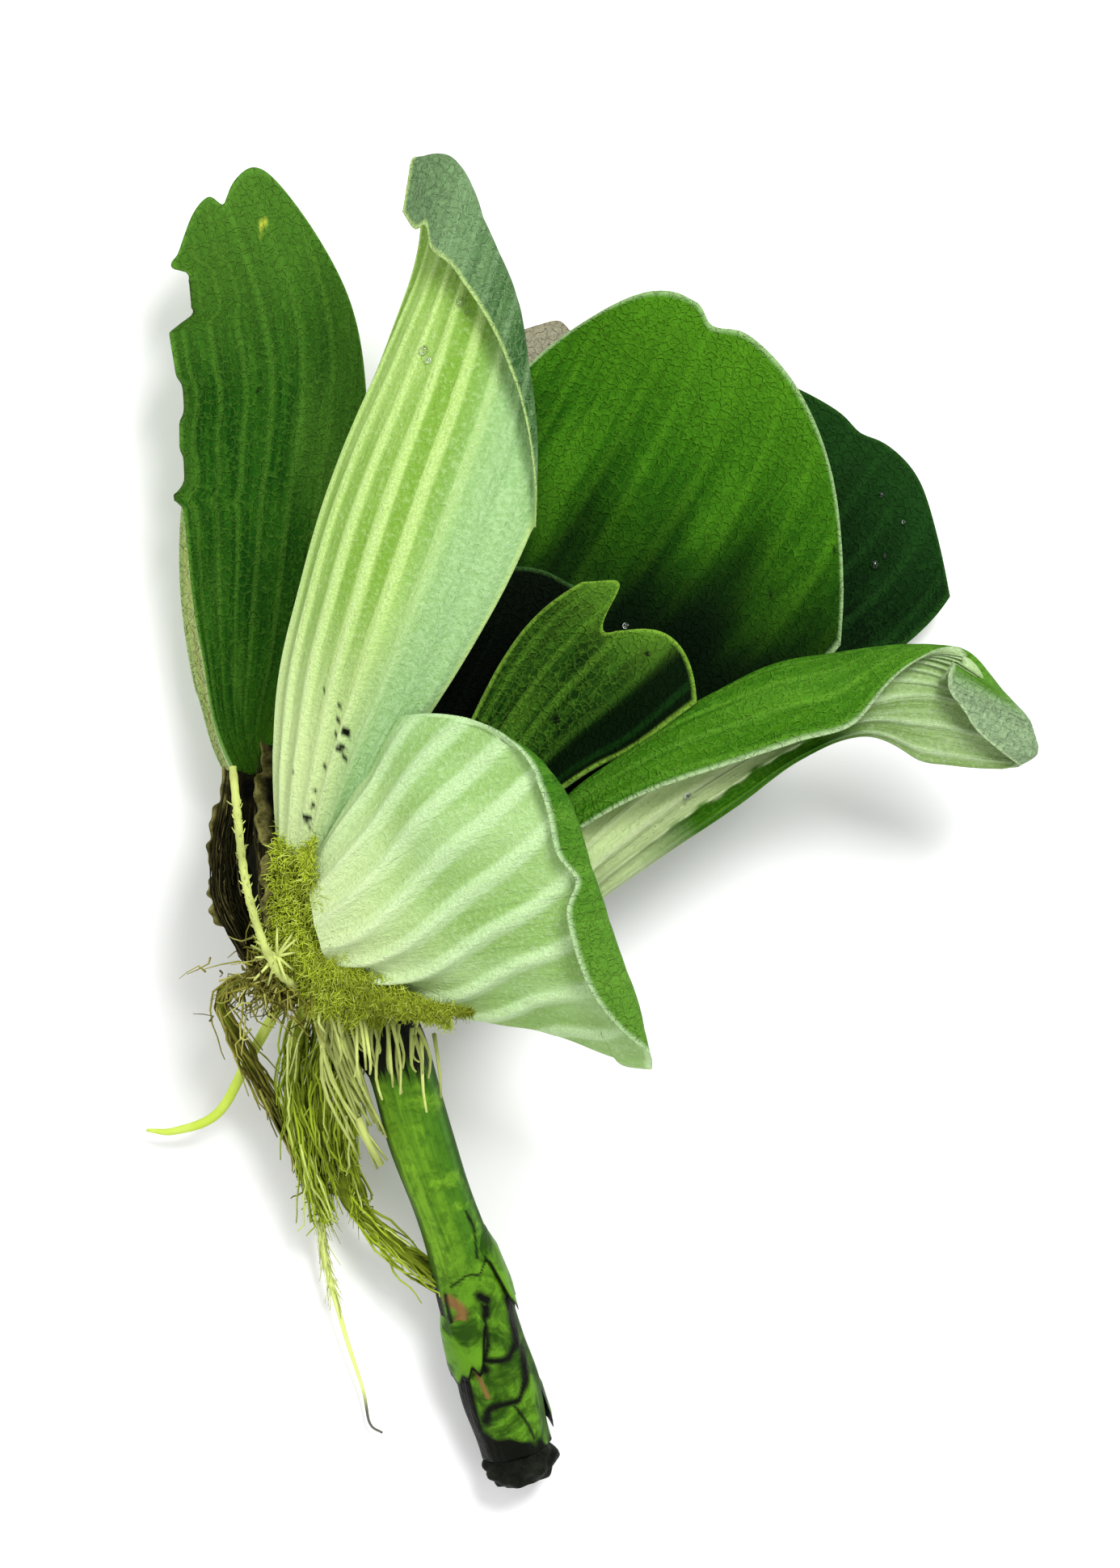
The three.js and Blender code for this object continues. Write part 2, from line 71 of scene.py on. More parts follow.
# Each leaf as the solid model has it: the midrib's route from the foot to the tip, the way its upper side
# faces, the half-widths and the cup of each half, how far each line of the blade reaches, the cleft in
# its tip, and the rim that is folded back.
LEAVES = {
    "leaf_front": {
        "length": 30.2, "width": 20, "ribs": 11, "parallel": 0.5, "slant": 0.5, "fan": 0.4,
        "route": [(-25.5, -12, 27.5), (-17, -10.5, 32), (-9, -8.5, 37), (-2, -7.5, 40), (2, -7, 41)],
        "faces": [(0.4, 0.4, -1), (0.4, 0.4, -1), (0.3, 0.3, -1)],
        "left": [0.1, 0.48, 0.74, 0.86, 0.95, 0.98], "right": [0.4, 0.78, 1.02, 1.12, 1.12, 1.05],
        "cup_left": [30, 25, 20], "cup_right": [30, 30, 30],
        "tip": [1, 0.97, 0.88, 0.75, 0.36], "notch": (0.08, 1.6, 0.08),
        "fold": [0.5, 5.8, 6.2, 4.2, 0.3], "turn": 165,
    },
    "leaf_tall": {
        "length": 74, "width": 12, "ribs": 9,
        "route": [(-28, -4.5, 24), (-25.5, 8.5, 30), (-22, 20.5, 35), (-18, 33, 38), (-14, 44.5, 39),
                  (-11, 54.5, 39), (-9, 64, 38)],
        "faces": [(0.45, 0.1, -1), (0.45, 0.1, -1), (0.4, 0.1, -1), (0.3, 0.1, -1), (0.1, 0.1, -1)],
        "left": [0.25, 0.6, 0.88, 1.08, 1.12, 0.98, 0.9, 0.9],
        "right": [0.25, 0.6, 0.88, 0.95, 0.95, 0.75, 0.6, 0.6, 0.65],
        "cup_left": [20, 25, 30, 30, 30], "cup_right": [40, 60, 75, 70, 50, 25],
        "tip": [0.47, 0.72, 0.85, 0.945, 0.95], "notch": (0.6, 1.6, 0.1),
        "fold": [2.4, 8, 9.8, 12.5, 8.5], "turn": 165,
    },
    "leaf_right": {
        # Its underside is painted in shade along part of the left rim.
        "length": 74, "width": 24, "ribs": 15, "near_ribs": 5, "flat": 0.45, "painted_shade_rim": (0.36, 0.72, 0.35),
        "route": [(-19, -18, 20), (-9, -13, 21), (0.5, -5, 22), (12, 3.4, 22), (23, 9, 22), (33, 11, 22),
                  (44.5, 7, 21)],
        "faces": [(0.1, 0.1, -1), (0.1, 0.1, -1), (0.1, 0.1, -1), (0.1, 0.1, -1)],
        "left": [0.1, 0.12, 0.12, 0.12, 0.14, 0.15, 0.11, 0.12, 0.27, 0.26, 0.14],
        "right": [0.1, 0.2, 0.42, 0.66, 0.85, 0.95, 0.95, 0.87, 0.49, 0.19, 0.1],
        "cup_left": [30, 20, 20, 10],
        "cup_right": [-100, -110, -125, -140, -155, -173, -184, -186, -133, -45, -20],
        "tip": [0.95, 0.97, 0.955, 0.93, 0.84], "notch": (-0.1, 0.5, 0.1),
        "fold": [0.6, 7, 12, 12, 5], "turn": 165,
    },
    "leaf_heart": {
        "length": 44, "width": 11, "ribs": 5,
        "route": [(-23, -12, 19), (-14, -0.5, 20), (-9, 5, 21), (-4.5, 10.5, 21), (0.5, 16, 22), (5, 21, 22)],
        "faces": [(0, 0.2, 1), (0, 0.2, 1), (0, 0.2, 1)],
        "left": [0.2, 0.27, 0.45, 0.6, 0.62, 0.45], "right": [0.2, 0.27, 0.64, 0.85, 1.05, 1.15],
        "cup_left": [50, 50, 30], "cup_right": [50, 50, 30],
        "tip": [0.9, 1, 0.97, 0.95, 0.86], "notch": (-0.16, 6.4, 0.3),
    },
    "leaf_heart_side": {
        "length": 40.5, "width": 6, "ribs": 5,
        "route": [(-23, -12, 17), (-15.5, 0.5, 18), (-11.5, 10, 18), (-7.5, 17.5, 17), (-5, 24.5, 17)],
        "faces": [(0, 0, 1), (0, 0, 1), (0, 0, 1)],
        "left": [0.4, 0.6, 0.85, 1, 1, 0.9], "right": [0.4, 0.6, 0.85, 1, 1, 0.9],
        "cup_left": [50, 50, 40], "cup_right": [50, 50, 40],
        "tip": [0.94, 0.98, 1, 0.99, 0.97], "notch": (0, 0, 0.1),
    },
    "leaf_broad": {
        "length": 68, "width": 25, "ribs": 11,
        "route": [(-23.5, -7, 16), (-14, 7, 14), (-4.5, 20, 12), (4.5, 35, 12), (12, 49, 16)],
        "faces": [(0, 0, 1), (0, 0, 1), (0, 0, 1)],
        "left": [0.12, 0.36, 0.6, 0.74, 0.76, 0.76], "right": [0.12, 0.4, 0.78, 1.05, 1.12, 1.04],
        "cup_left": [30, 30, 30], "cup_right": [30, 25, 20],
        "tip": [0.64, 0.95, 1, 0.93, 0.66], "notch": (0, 1.4, 0.08),
    },
    "leaf_dark": {
        "length": 73, "width": 17, "ribs": 9,
        "route": [(-24.5, -9, 15), (-11, 4.5, 8.5), (4, 17, 5), (18, 29.5, 4), (26.5, 38.5, 5)],
        "faces": [(0, 0, 1), (0, 0, 1), (0, 0, 1)],
        "left": [0.18, 0.47, 0.85, 1.1, 1.2, 1.08], "right": [0.18, 0.47, 0.82, 1, 1.1, 0.95],
        "cup_left": [15, 10, 10], "cup_right": [15, 10, 10],
        "tip": [0.83, 0.94, 0.985, 0.985, 0.85], "notch": (0.02, 0.8, 0.1),
    },
    "leaf_withered": {
        "length": 63, "width": 8, "ribs": 5,
        "route": [(-25, -8, 14), (-17.5, 8.5, 7.5), (-12, 23.5, 6), (-7, 36.5, 7), (-4, 48, 8)],
        "faces": [(0, 0, 1), (0, 0, 1), (0, 0, 1)],
        "left": [0.25, 0.6, 0.85, 1, 0.75, 0.5], "right": [0.25, 0.6, 0.85, 1, 0.75, 0.4],
        "cup_left": [20, 20, 20], "cup_right": [20, 20, 20],
        "tip": [0.95, 0.98, 1, 0.98, 0.96], "notch": (0, 0, 0.1),
    },
    "leaf_left": {
        "length": 68.2, "width": 10.5, "ribs": 7,
        "route": [(-30, -2, 14), (-34.5, 6.5, 13), (-34.5, 16.5, 12), (-33.5, 29.5, 13), (-32.5, 45, 15),
                  (-37.4, 62.5, 16)],
        "faces": [(0.25, 0, 1), (0.1, 0, 1), (0, 0, 1), (0, 0.1, 1)],
        "left": [0.15, 0.19, 0.32, 0.52, 0.7, 0.85, 0.88, 0.6],
        "right": [0.15, 0.19, 0.5, 0.76, 0.88, 0.96, 1.08, 1.02],
        "cup_left": [30, 25, 20, 15, 10], "cup_right": [30, 25, 20, 15, 15],
        "tip": [0.9, 0.965, 0.98, 0.972, 0.72], "notch": (-0.05, 1, 0.1),
    },
    "leaf_left_under": {
        "length": 53, "width": 8, "ribs": 7,
        "route": [(-27, -7, 14), (-34, 5, 8.5), (-34.5, 15, 6), (-34.5, 26.5, 5), (-34, 40, 4.5),
                  (-33.5, 49.5, 5)],
        "faces": [(0, 0, 1), (0, 0, 1), (0, 0, 1)],
        "left": [0.2, 0.3, 0.62, 0.88, 1.02, 1.05, 0.96, 0.8],
        "right": [0.2, 0.3, 0.56, 0.85, 1, 1, 0.94, 0.8],
        "cup_left": [20, 15, 10], "cup_right": [20, 15, 10],
        "tip": [0.78, 0.96, 1, 0.96, 0.78], "notch": (0, 1, 0.1),
    },
}

# Bites in a leaf's left rim: where along the blade, how long as a share of it, and how deep.
BITES = {
    "leaf_left": [(0.885, 0.03, 2.6), (0.858, 0.008, 0.7), (0.921, 0.007, -0.5), (0.74, 0.03, 0.5),
                  (0.645, 0.02, 0.4), (0.61, 0.008, -0.8)],
}

# Small marks on a leaf: x and y in the plant's layout, radius, and whether they are dark (1) or yellow (0).
SPOTS = {
    "leaf_tall": [(-23.9, 9.6, 0.35, 1), (-24.2, 8.2, 0.3, 1), (-23.2, 8.7, 0.45, 1), (-23.6, 7.1, 0.4, 1),
                  (-23.5, 6.2, 0.3, 1), (-23.9, 11.0, 0.22, 1), (-26.3, 1.6, 0.3, 1), (-26.6, 0.4, 0.35, 1),
                  (-26.0, 3.0, 0.2, 1), (-27.6, 4.8, 0.2, 1), (-25.1, 12.3, 0.18, 1), (-25.2, 5.2, 0.15, 1)],
    "leaf_left": [(-33.6, 42.2, 0.35, 1), (-32.9, 58.7, 0.6, 0), (-32.3, 45.5, 0.15, 1)],
    "leaf_heart": [(-3.7, 9.2, 0.4, 1), (-3.4, 7.9, 0.25, 1), (5.2, 15.6, 0.3, 1), (11.6, 17.6, 0.25, 1)],
    "leaf_broad": [(19.9, 35.3, 0.2, 1), (17.6, 21.8, 0.15, 1), (23.9, 26.0, 0.15, 1)],
}

# Water drops that cling to the leaves: x and y in the plant's layout, and radius.
DROPS = {
    "leaf_tall": [(-16.4, 44.3, 0.45), (-16.0, 43.3, 0.3), (-12.9, 48.8, 0.4), (-12.2, 47.9, 0.25)],
    "leaf_dark": [(28.6, 25.1, 0.5), (29.6, 26, 0.3), (29.3, 32.2, 0.35), (31.6, 29.4, 0.25)],
    "leaf_right": [(9.2, 1.6, 0.35)],
    "leaf_heart": [(3.1, 18.4, 0.3)],
}

# The routes of the other pieces.
STOLON = [(-23, -17, 18), (-19.5, -24.5, 16), (-17, -33.5, 13), (-13, -45.5, 9), (-10, -56, 6),
          (-7, -67, 3.6)]
STOLON_LENGTH = 52
STOLON_DIAMETER = 6.4
STOLON_END_LENGTH = 4.2
STOLON_END_WIDTH = 7.2
# Where the runner's old skins sit: from and to which share of its length, and from the middle of which angle
# how far around it they reach, in degrees.
SKINS = [("top", 0.55, 0.7, 200, 150), ("middle", 0.68, 0.82, 20, 170), ("low", 0.84, 0.97, 250, 190)]
# From where on the runner swells and goes stale, as a share of its length.
STALE_SHARE = 0.56
# Lines on the runner's upper side, as places across and along it in mm, each ending with its half-width.
STOLON_LINES = [
    ((3.2, 36), (3.1, 39), (2.6, 40.6), (1.2, 41.4), (-0.6, 41.2), 0.42),
    ((3.2, 41), (3.1, 43.6), (2.2, 45.4), (0.6, 46.1), (-1.4, 46.2), (-2.2, 47.4), 0.42),
    ((0.6, 35), (0.5, 37), (0.1, 38.8), (-0.4, 41), 0.24),
    ((0.7, 34.2), (1.3, 34.9), 0.5),
    ((0.9, 35.4), (0.7, 36.2), 0.5),
    ((-1.2, 40.8), (-0.7, 42.1), 0.55),
    ((-0.9, 40.4), (-2.2, 39.2), (-2.9, 37.2), 0.28),
    ((1.1, 46.6), (1.8, 48.7), (2.1, 50.6), 0.14),
    ((-2.6, 33.4), (-2.9, 35.4), (-2.7, 38.5), 0.2),
    ((-1.8, 32.6), (0, 31.6), (1.4, 32), (2.6, 30.4), 0.13),
    ((1.5, 30.4), (2.2, 27.8), (2.0, 25.5), 0.12),
]
STOLON_SCARS = [
    ((-2.4, 34), (-1.5, 35), (-1.9, 36.4), 0.55),
    ((-1.9, 40), (-1.7, 42.2), (-1.3, 45), 0.22),
]
SHEATH = [(-31, -19, 19), (-34, -10.5, 23), (-35, -3, 22), (-34.5, 5.5, 17)]
SHEATH_WIDTHS = [1.5, 4, 4.2, 3.2]
# Which way the trough of the sheath opens.
SHEATH_OPENING = np.array([-0.75, 0, 0.65])
# Loose fibres in the sheath: how many, from and to which angle across it, how far off its wall, and radius.
SHEATH_FIBRES = [
    ("sheath_fibres_left", 90, -104, -70, 0.5, 0.09),
    ("sheath_fibres_middle", 110, -70, 60, 1.2, 0.08),
    ("sheath_fibres_right", 60, 60, 103, 0.6, 0.09),
]
PALE_ROOT = [(-29, -17.5, 24), (-31.5, -14.5, 28.5), (-34, -7, 28), (-35.5, 4.5, 25)]
BROWN_ROOT = [(-29, -15, 16), (-37, -18, 15), (-35.5, -23.5, 11), (-31.5, -31, 7), (-28.5, -38, 4)]
CROWN_TAIL = [(-22.5, -17.5, 25), (-19, -18.7, 29), (-15.5, -19.2, 32), (-11.5, -19.2, 34)]
LINK_ROOT = [(-25.5, -36, 9), (-24.5, -39.5, 7), (-21.5, -42.5, 6.5), (-18, -45.5, 7.5), (-14, -47.5, 9)]
LONG_ROOT = [(-27.5, -36, 4.5), (-27.5, -44, 3.5), (-25.5, -52.5, 2.4), (-23.5, -59, 1.6),
             (-22.8, -62.5, 1.2), (-21.5, -63.5, 1.2)]
SHOOT = [(-29, -15, 14), (-34.5, -24.5, 9), (-38, -30.5, 6), (-42.5, -32.5, 3.5), (-45.5, -32.5, 2.5)]
BUNDLE = [(-25, -17, 16), (-27.5, -26, 13), (-27, -33.5, 10), (-25.5, -41, 7)]
BUNDLE_ENDS = [0.9, 1, 0.85, 0.8, 0.95, 0.75]
BUNDLE_COLUMNS = 3
BUNDLE_ROWS = 2
ROOT_SPACING = 3.0
ROOT_TIP_SHARE = 0.55
# A near-black rod of painted shade under the crown.
CROWN_SHADE_ROUTE = [(-26, -16.5, 17), (-24, -19.5, 17), (-22, -23.5, 16), (-20.5, -26.5, 15)]
FRINGE_START = np.array([-26, -18, 23])
FRINGE_STEP = np.array([2, -0.9, -0.4])
FRINGE_TUFTS = 5
FRINGE_TUFT_ROOTS = 6
COMB_FOOT = np.array([-26.5, -18.5, 21.5])
COMB_TIP = np.array([-21.6, -31.5, 14.5])
COMB_ROOTS = 16
PALE_ROD = [(-23.4, -30.4, 17.5), (-22.6, -32.6, 16.8), (-21.2, -35.2, 15.5)]
TANGLE_CENTRE = np.array([-31, -16.5, 24])
TANGLE_FIBRES = 190
STAR_CENTRE = np.array([-31, -14, 28])
STAR_ARMS = 11
# How many coats of hairs the crown has, how many hairs each coat, its tail and the front leaf's foot have,
# how many places on that foot are tried, and the line where the down runs up on it.
CROWN_COATS = 3
COAT_HAIRS = 9000
TAIL_HAIRS = 2500
FOOT_HAIRS = 8000
FOOT_TRIES = 60000
FOOT_LINE = [(-27.4, -2.5), (-27, -10.9), (-22.5, -15.3), (-19.2, -16.7), (-14.6, -19.2)]

# Shape -----------------------------------------------------------------------------------------------------


def unit(vectors):
    """Vectors brought to a length of one."""
    return vectors / np.maximum(np.linalg.norm(vectors, axis=-1, keepdims=True), 1e-9)


def spline(points, share):
    """Points on a smooth curve through even stations, for shares from 0 to 1."""
    p = np.asarray(points, float)
    p = np.vstack([2 * p[0] - p[1], p, 2 * p[-1] - p[-2]])
    spans = len(p) - 3
    x = np.clip(np.asarray(share, float), 0, 1) * spans
    i = np.minimum(x.astype(int), spans - 1)
    f = (x - i)[..., None]
    a, b, c, d = p[i], p[i + 1], p[i + 2], p[i + 3]
    return 0.5 * (2 * b + (c - a) * f + (2 * a - 5 * b + 4 * c - d) * f**2 + (3 * b - a - 3 * c + d) * f**3)


def ramp(values, share):
    """A smooth run of numbers through even stations."""
    return spline(np.asarray(values, float)[:, None], share)[..., 0]


def stretched(route, length):
    """A route drawn out from its first point until it has the wanted length."""
    route = np.asarray(route, float)
    line = spline(route, np.linspace(0, 1, 200))
    now = np.linalg.norm(np.diff(line, axis=0), axis=1).sum()
    return route[0] + (route - route[0]) * length / now


def even(route, share):
    """Points at even distances along a route."""
    fine = np.linspace(0, 1, 300)
    line = spline(route, fine)
    run = np.concatenate([[0], np.cumsum(np.linalg.norm(np.diff(line, axis=0), axis=1))])
    return spline(route, np.interp(np.asarray(share) * run[-1], run, fine))


def heading_along(curve, route, share, step=0.01):
    """The way a route runs at each share of it, where `curve` is spline or even."""
    return unit(curve(route, np.minimum(share + step, 1)) - curve(route, np.maximum(share - step, 0)))


def around(side, top, angle):
    """The way out from a rod's middle at an angle, between two directions across it."""
    return side * np.cos(angle)[..., None] + top * np.sin(angle)[..., None]


def waves(points, size, seed):
    """A gentle random height from -1 to 1 for each point, with bumps about `size` mm across."""
    rng = np.random.default_rng(seed)
    total = np.zeros(points.shape[:-1])
    for _ in range(7):
        heading = unit(rng.normal(size=3))
        pitch = 2 * math.pi / (size * rng.uniform(1.2, 3))
        total += np.sin(points @ heading * pitch + rng.uniform(0, 2 * math.pi))
    return total / 3.5


def in_frame(points):
    """The plant's millimetres as metres in the frame."""
    return (np.asarray(points) + OFFSET) * MM


class Blade:
    """A leaf's curved sheet: u runs across from -1 to 1, s along from the foot to the tip."""

    def __init__(self, name):
        self.leaf = LEAVES[name]
        self.bites = BITES.get(name, [])
        self.route = stretched(self.leaf["route"], self.leaf["length"])

    def half(self, key, u, s):
        left, right = self.leaf[key[0]], self.leaf[key[1]]
        return np.where(u < 0, ramp(left, s), ramp(right, s))

    def sheet(self, u, s):
        width = self.half(("left", "right"), u, s) * self.leaf["width"]
        for place, span, depth in self.bites:
            width = width - np.where(u < 0, depth * np.exp(-(((s - place) / span) ** 6)), 0)
        width = np.maximum(width, 0.05)
        bend = np.radians(self.half(("cup_left", "cup_right"), u, s)) / width
        angle = bend * np.abs(u) * width
        along = spline(self.route, s + 0.002) - spline(self.route, s - 0.002)
        along = unit(along)
        face = spline(self.leaf["faces"], s)
        face = unit(face - along * np.sum(face * along, -1, keepdims=True))
        side = np.cross(along, face)
        middle = spline(self.route, s)
        across = np.sign(u) * np.sin(angle) / bend
        deep = (1 - np.cos(angle)) / bend * self.leaf.get("flat", 1)
        return middle + side * across[..., None] + face * deep[..., None]

    def cleft(self, u):
        """How deep the cleft in the tip is for each line of the blade, in mm."""
        place, depth, span = self.leaf["notch"]
        return depth * np.exp(-(((u - place) / span) ** 2))

    def reach(self, u):
        """How far along the midrib each line of the blade goes before it ends or folds."""
        whole = ramp(self.leaf["tip"], (u + 1) / 2)
        return whole if "fold" in self.leaf else whole - self.cleft(u) / self.leaf["length"]

    def fold(self, u):
        """The length in mm that is folded back at the tip of each line of the blade."""
        if "fold" not in self.leaf:
            return np.zeros(np.shape(u))
        return np.maximum(ramp(self.leaf["fold"], (u + 1) / 2) - self.cleft(u), 0.2)

    def surface(self, u, v, folded):
        """Points on the upper face and the way it looks, with the rim folded back by `folded` mm."""
        s = np.clip(v * self.reach(u), 0.004, 1)
        point = self.sheet(u, s)
        along = unit(point - self.sheet(u, s - 0.004))
        across = unit(self.sheet(np.minimum(u + 0.01, 1), s) - self.sheet(np.maximum(u - 0.01, -1), s))
        out = unit(np.cross(across, along))
        radius = FOLD_RADIUS
        curled = np.minimum(folded, radius * math.radians(self.leaf.get("turn", 0)))
        angle = (curled / radius)[..., None]
        straight = (folded - curled)[..., None]
        point = point + along * (radius * np.sin(angle) + straight * np.cos(angle))
        point = point - out * (radius * (1 - np.cos(angle)) + straight * np.sin(angle))
        return point, out * np.cos(angle) + along * np.sin(angle), s


FOLD_RADIUS = 1.3
FOOT_THICKNESS = 3.2
MIDDLE_THICKNESS = 1.6
RIM_THICKNESS = 0.7


def finish_mesh(name, bm):
    """Makes a linked object from a bmesh, shaded smooth."""
    mesh = bpy.data.meshes.new(name)
    bm.to_mesh(mesh)
    bm.free()
    mesh.shade_smooth()
    piece = bpy.data.objects.new(name, mesh)
    bpy.context.scene.collection.objects.link(piece)
    return piece


def coordinates(mesh):
    """A mesh's vertex positions as an array."""
    flat = np.empty(len(mesh.vertices) * 3)
    mesh.vertices.foreach_get("co", flat)
    return flat.reshape(-1, 3)


def reshape(mesh, points):
    """Moves a mesh's vertices to new places in the plant's millimetres."""
    mesh.vertices.foreach_set("co", in_frame(points).ravel())
    mesh.update()


def mark(mesh, name, values):
    """Stores one number for each vertex, for the materials."""
    layer = mesh.attributes.new(name, "FLOAT", "POINT")
    layer.data.foreach_set("value", np.asarray(values, np.float32))


def read_mark(mesh, name):
    """Reads back one number for each vertex."""
    values = np.empty(len(mesh.vertices))
    mesh.attributes[name].data.foreach_get("value", values)
    return values


def lay_uv(mesh, across, along):
    """A UV map that gives each vertex its place across and along the piece."""
    layer = mesh.uv_layers.new(name="UVMap")
    corners = np.empty(len(mesh.loops), int)
    mesh.loops.foreach_get("vertex_index", corners)
    layer.data.foreach_set("uv", np.column_stack([across, along])[corners].ravel())


def plate(name, columns, rows):
    """A closed plate: x across and y along run from -1 to 1, and z is 0 on the upper face and -1 below."""
    bm = bmesh.new()
    bmesh.ops.create_grid(bm, x_segments=columns, y_segments=rows, size=1)
    made = bmesh.ops.extrude_face_region(bm, geom=bm.faces[:], use_keep_orig=True)
    lower = [item for item in made["geom"] if isinstance(item, bmesh.types.BMVert)]
    bmesh.ops.translate(bm, verts=lower, vec=(0, 0, -1))
    bmesh.ops.recalc_face_normals(bm, faces=bm.faces[:])
    return finish_mesh(name, bm)


def pipe(name, sides, rows):
    """A closed pipe: x and y lie on a unit circle, and z runs from 0 to 1."""
    bm = bmesh.new()
    bmesh.ops.create_cone(bm, segments=sides, radius1=1, radius2=1, depth=1, cap_ends=True, cap_tris=True)
    long_edges = [edge for edge in bm.edges if abs(edge.verts[0].co.z - edge.verts[1].co.z) > 0.5]
    bmesh.ops.subdivide_edges(bm, edges=long_edges, cuts=rows - 1, use_grid_fill=True)
    bmesh.ops.translate(bm, verts=bm.verts[:], vec=(0, 0, 0.5))
    bmesh.ops.recalc_face_normals(bm, faces=bm.faces[:])
    return finish_mesh(name, bm)


def frames_along(route, shares):
    """Points along a route with two directions across it that don't twist."""
    points = even(route, shares)
    heading = heading_along(even, route, shares)
    side = unit(np.cross(heading, (0, 0, 1)))
    return points, side, np.cross(side, heading)


def swept(name, route, radius_at, sides=24, rows=60):
    """A round rod along a route. `radius_at` gives the radius for a share of the length and an angle."""
    piece = pipe(name, sides, rows)
    local = coordinates(piece.data)
    share = np.clip(local[:, 2], 0, 1)
    angle = np.arctan2(local[:, 1], local[:, 0])
    ring = np.hypot(local[:, 0], local[:, 1])
    points, side, top = frames_along(route, share)
    radius = (radius_at(share, angle) * ring)[:, None]
    reshape(piece.data, points + radius * around(side, -top, angle))
    mark(piece.data, "along", share)
    mark(piece.data, "turn", angle / (2 * math.pi) + 0.5)
    return piece


def strands(name, routes, radius, taper=0.35):
    """Many thin closed threads as one piece. Each route is an array of points in mm."""
    curve = bpy.data.curves.new(name, "CURVE")
    curve.dimensions = "3D"
    curve.bevel_depth = radius * MM
    curve.bevel_resolution = 0
    curve.use_fill_caps = True
    for route in routes:
        line = curve.splines.new("POLY")
        line.points.add(len(route) - 1)
        spots = np.column_stack([in_frame(route), np.ones(len(route))])
        line.points.foreach_set("co", spots.ravel())
        line.points.foreach_set("radius", np.linspace(1, taper, len(route)))
    source = bpy.data.objects.new(name + "_source", curve)
    bpy.context.scene.collection.objects.link(source)
    mesh = bpy.data.meshes.new_from_object(source.evaluated_get(bpy.context.evaluated_depsgraph_get()))
    bpy.data.objects.remove(source)
    bm = bmesh.new()
    bm.from_mesh(mesh)
    bmesh.ops.remove_doubles(bm, verts=bm.verts[:], dist=1e-7)
    return finish_mesh(name, bm)


def settle(piece, material, slot, *nodes):
    """Gives a piece its material, ties it to the plant and hides the solids it stands for. The slot is not
    used.
    """
    piece.data.materials.clear()
    piece.data.materials.append(material)
    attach(piece, "root")
    if nodes:
        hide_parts(*nodes)
    return piece


# Materials -------------------------------------------------------------------------------------------------


class Finish:
    """A node material that is written one node at a time around a principled shader."""

    def __init__(self, name, roughness, gloss=0.04):
        self.material = bpy.data.materials.new(name)
        self.material.use_nodes = True
        self.tree = self.material.node_tree
        self.shader = self.tree.nodes["Principled BSDF"]
        self.shader.inputs["Roughness"].default_value = roughness
        self.shader.inputs["Specular IOR Level"].default_value = gloss
        self.place = self.add("ShaderNodeTexCoord", {}).outputs["Object"]

    def add(self, kind, inputs, **settings):
        node = self.tree.nodes.new(kind)
        for key, value in settings.items():
            setattr(node, key, value)
        for key, value in inputs.items():
            if isinstance(value, bpy.types.NodeSocket):
                self.tree.links.new(value, node.inputs[key])
            else:
                node.inputs[key].default_value = value
        return node

    def value(self, name):
        return self.add("ShaderNodeAttribute", {}, attribute_name=name).outputs["Fac"]

    def surface(self, across, along):
        """Coordinates that follow the piece's own surface, stretched along it."""
        uv = self.add("ShaderNodeUVMap", {}, uv_map="UVMap").outputs["UV"]
        return self.add("ShaderNodeMapping", {"Vector": uv, "Scale": (across, along, 1)}).outputs["Vector"]

    def noise(self, vector, scale, detail=4.0, roughness=0.6, distortion=0.0):
        inputs = {"Vector": vector, "Scale": scale, "Detail": detail, "Roughness": roughness,
                  "Distortion": distortion}
        return self.add("ShaderNodeTexNoise", inputs).outputs["Fac"]

    def between(self, value, low, high, start=0.0, end=1.0):
        """A value's run from low to high, spread from start to end."""
        inputs = {"Value": value, "From Min": low, "From Max": high, "To Min": start, "To Max": end}
        return self.add("ShaderNodeMapRange", inputs, interpolation_type="SMOOTHSTEP").outputs["Result"]

    def math(self, operation, a, b):
        return self.add("ShaderNodeMath", {0: a, 1: b}, operation=operation).outputs[0]

    def mix(self, factor, a, b):
        node = self.add("ShaderNodeMix", {}, data_type="RGBA")
        for index, value in ((0, factor), (6, a), (7, b)):
            if isinstance(value, bpy.types.NodeSocket):
                self.tree.links.new(value, node.inputs[index])
            elif index:
                node.inputs[index].default_value = (*value, 1)
            else:
                node.inputs[index].default_value = value
        return node.outputs[2]

    def tones(self, pattern, dark, light):
        """Two tones that follow a pattern."""
        return self.mix(self.between(pattern, 0.35, 0.7), dark, light)

    def bump(self, height, distance, normal=None):
        inputs = {"Height": height, "Distance": distance, "Strength": 1.0}
        if normal is not None:
            inputs["Normal"] = normal
        return self.add("ShaderNodeBump", inputs).outputs["Normal"]

    def done(self, colour, normal=None):
        self.tree.links.new(colour, self.shader.inputs["Base Color"])
        if normal is not None:
            self.tree.links.new(normal, self.shader.inputs["Normal"])
        return self.material


def darker(colour, share):
    return tuple(channel * share for channel in colour)


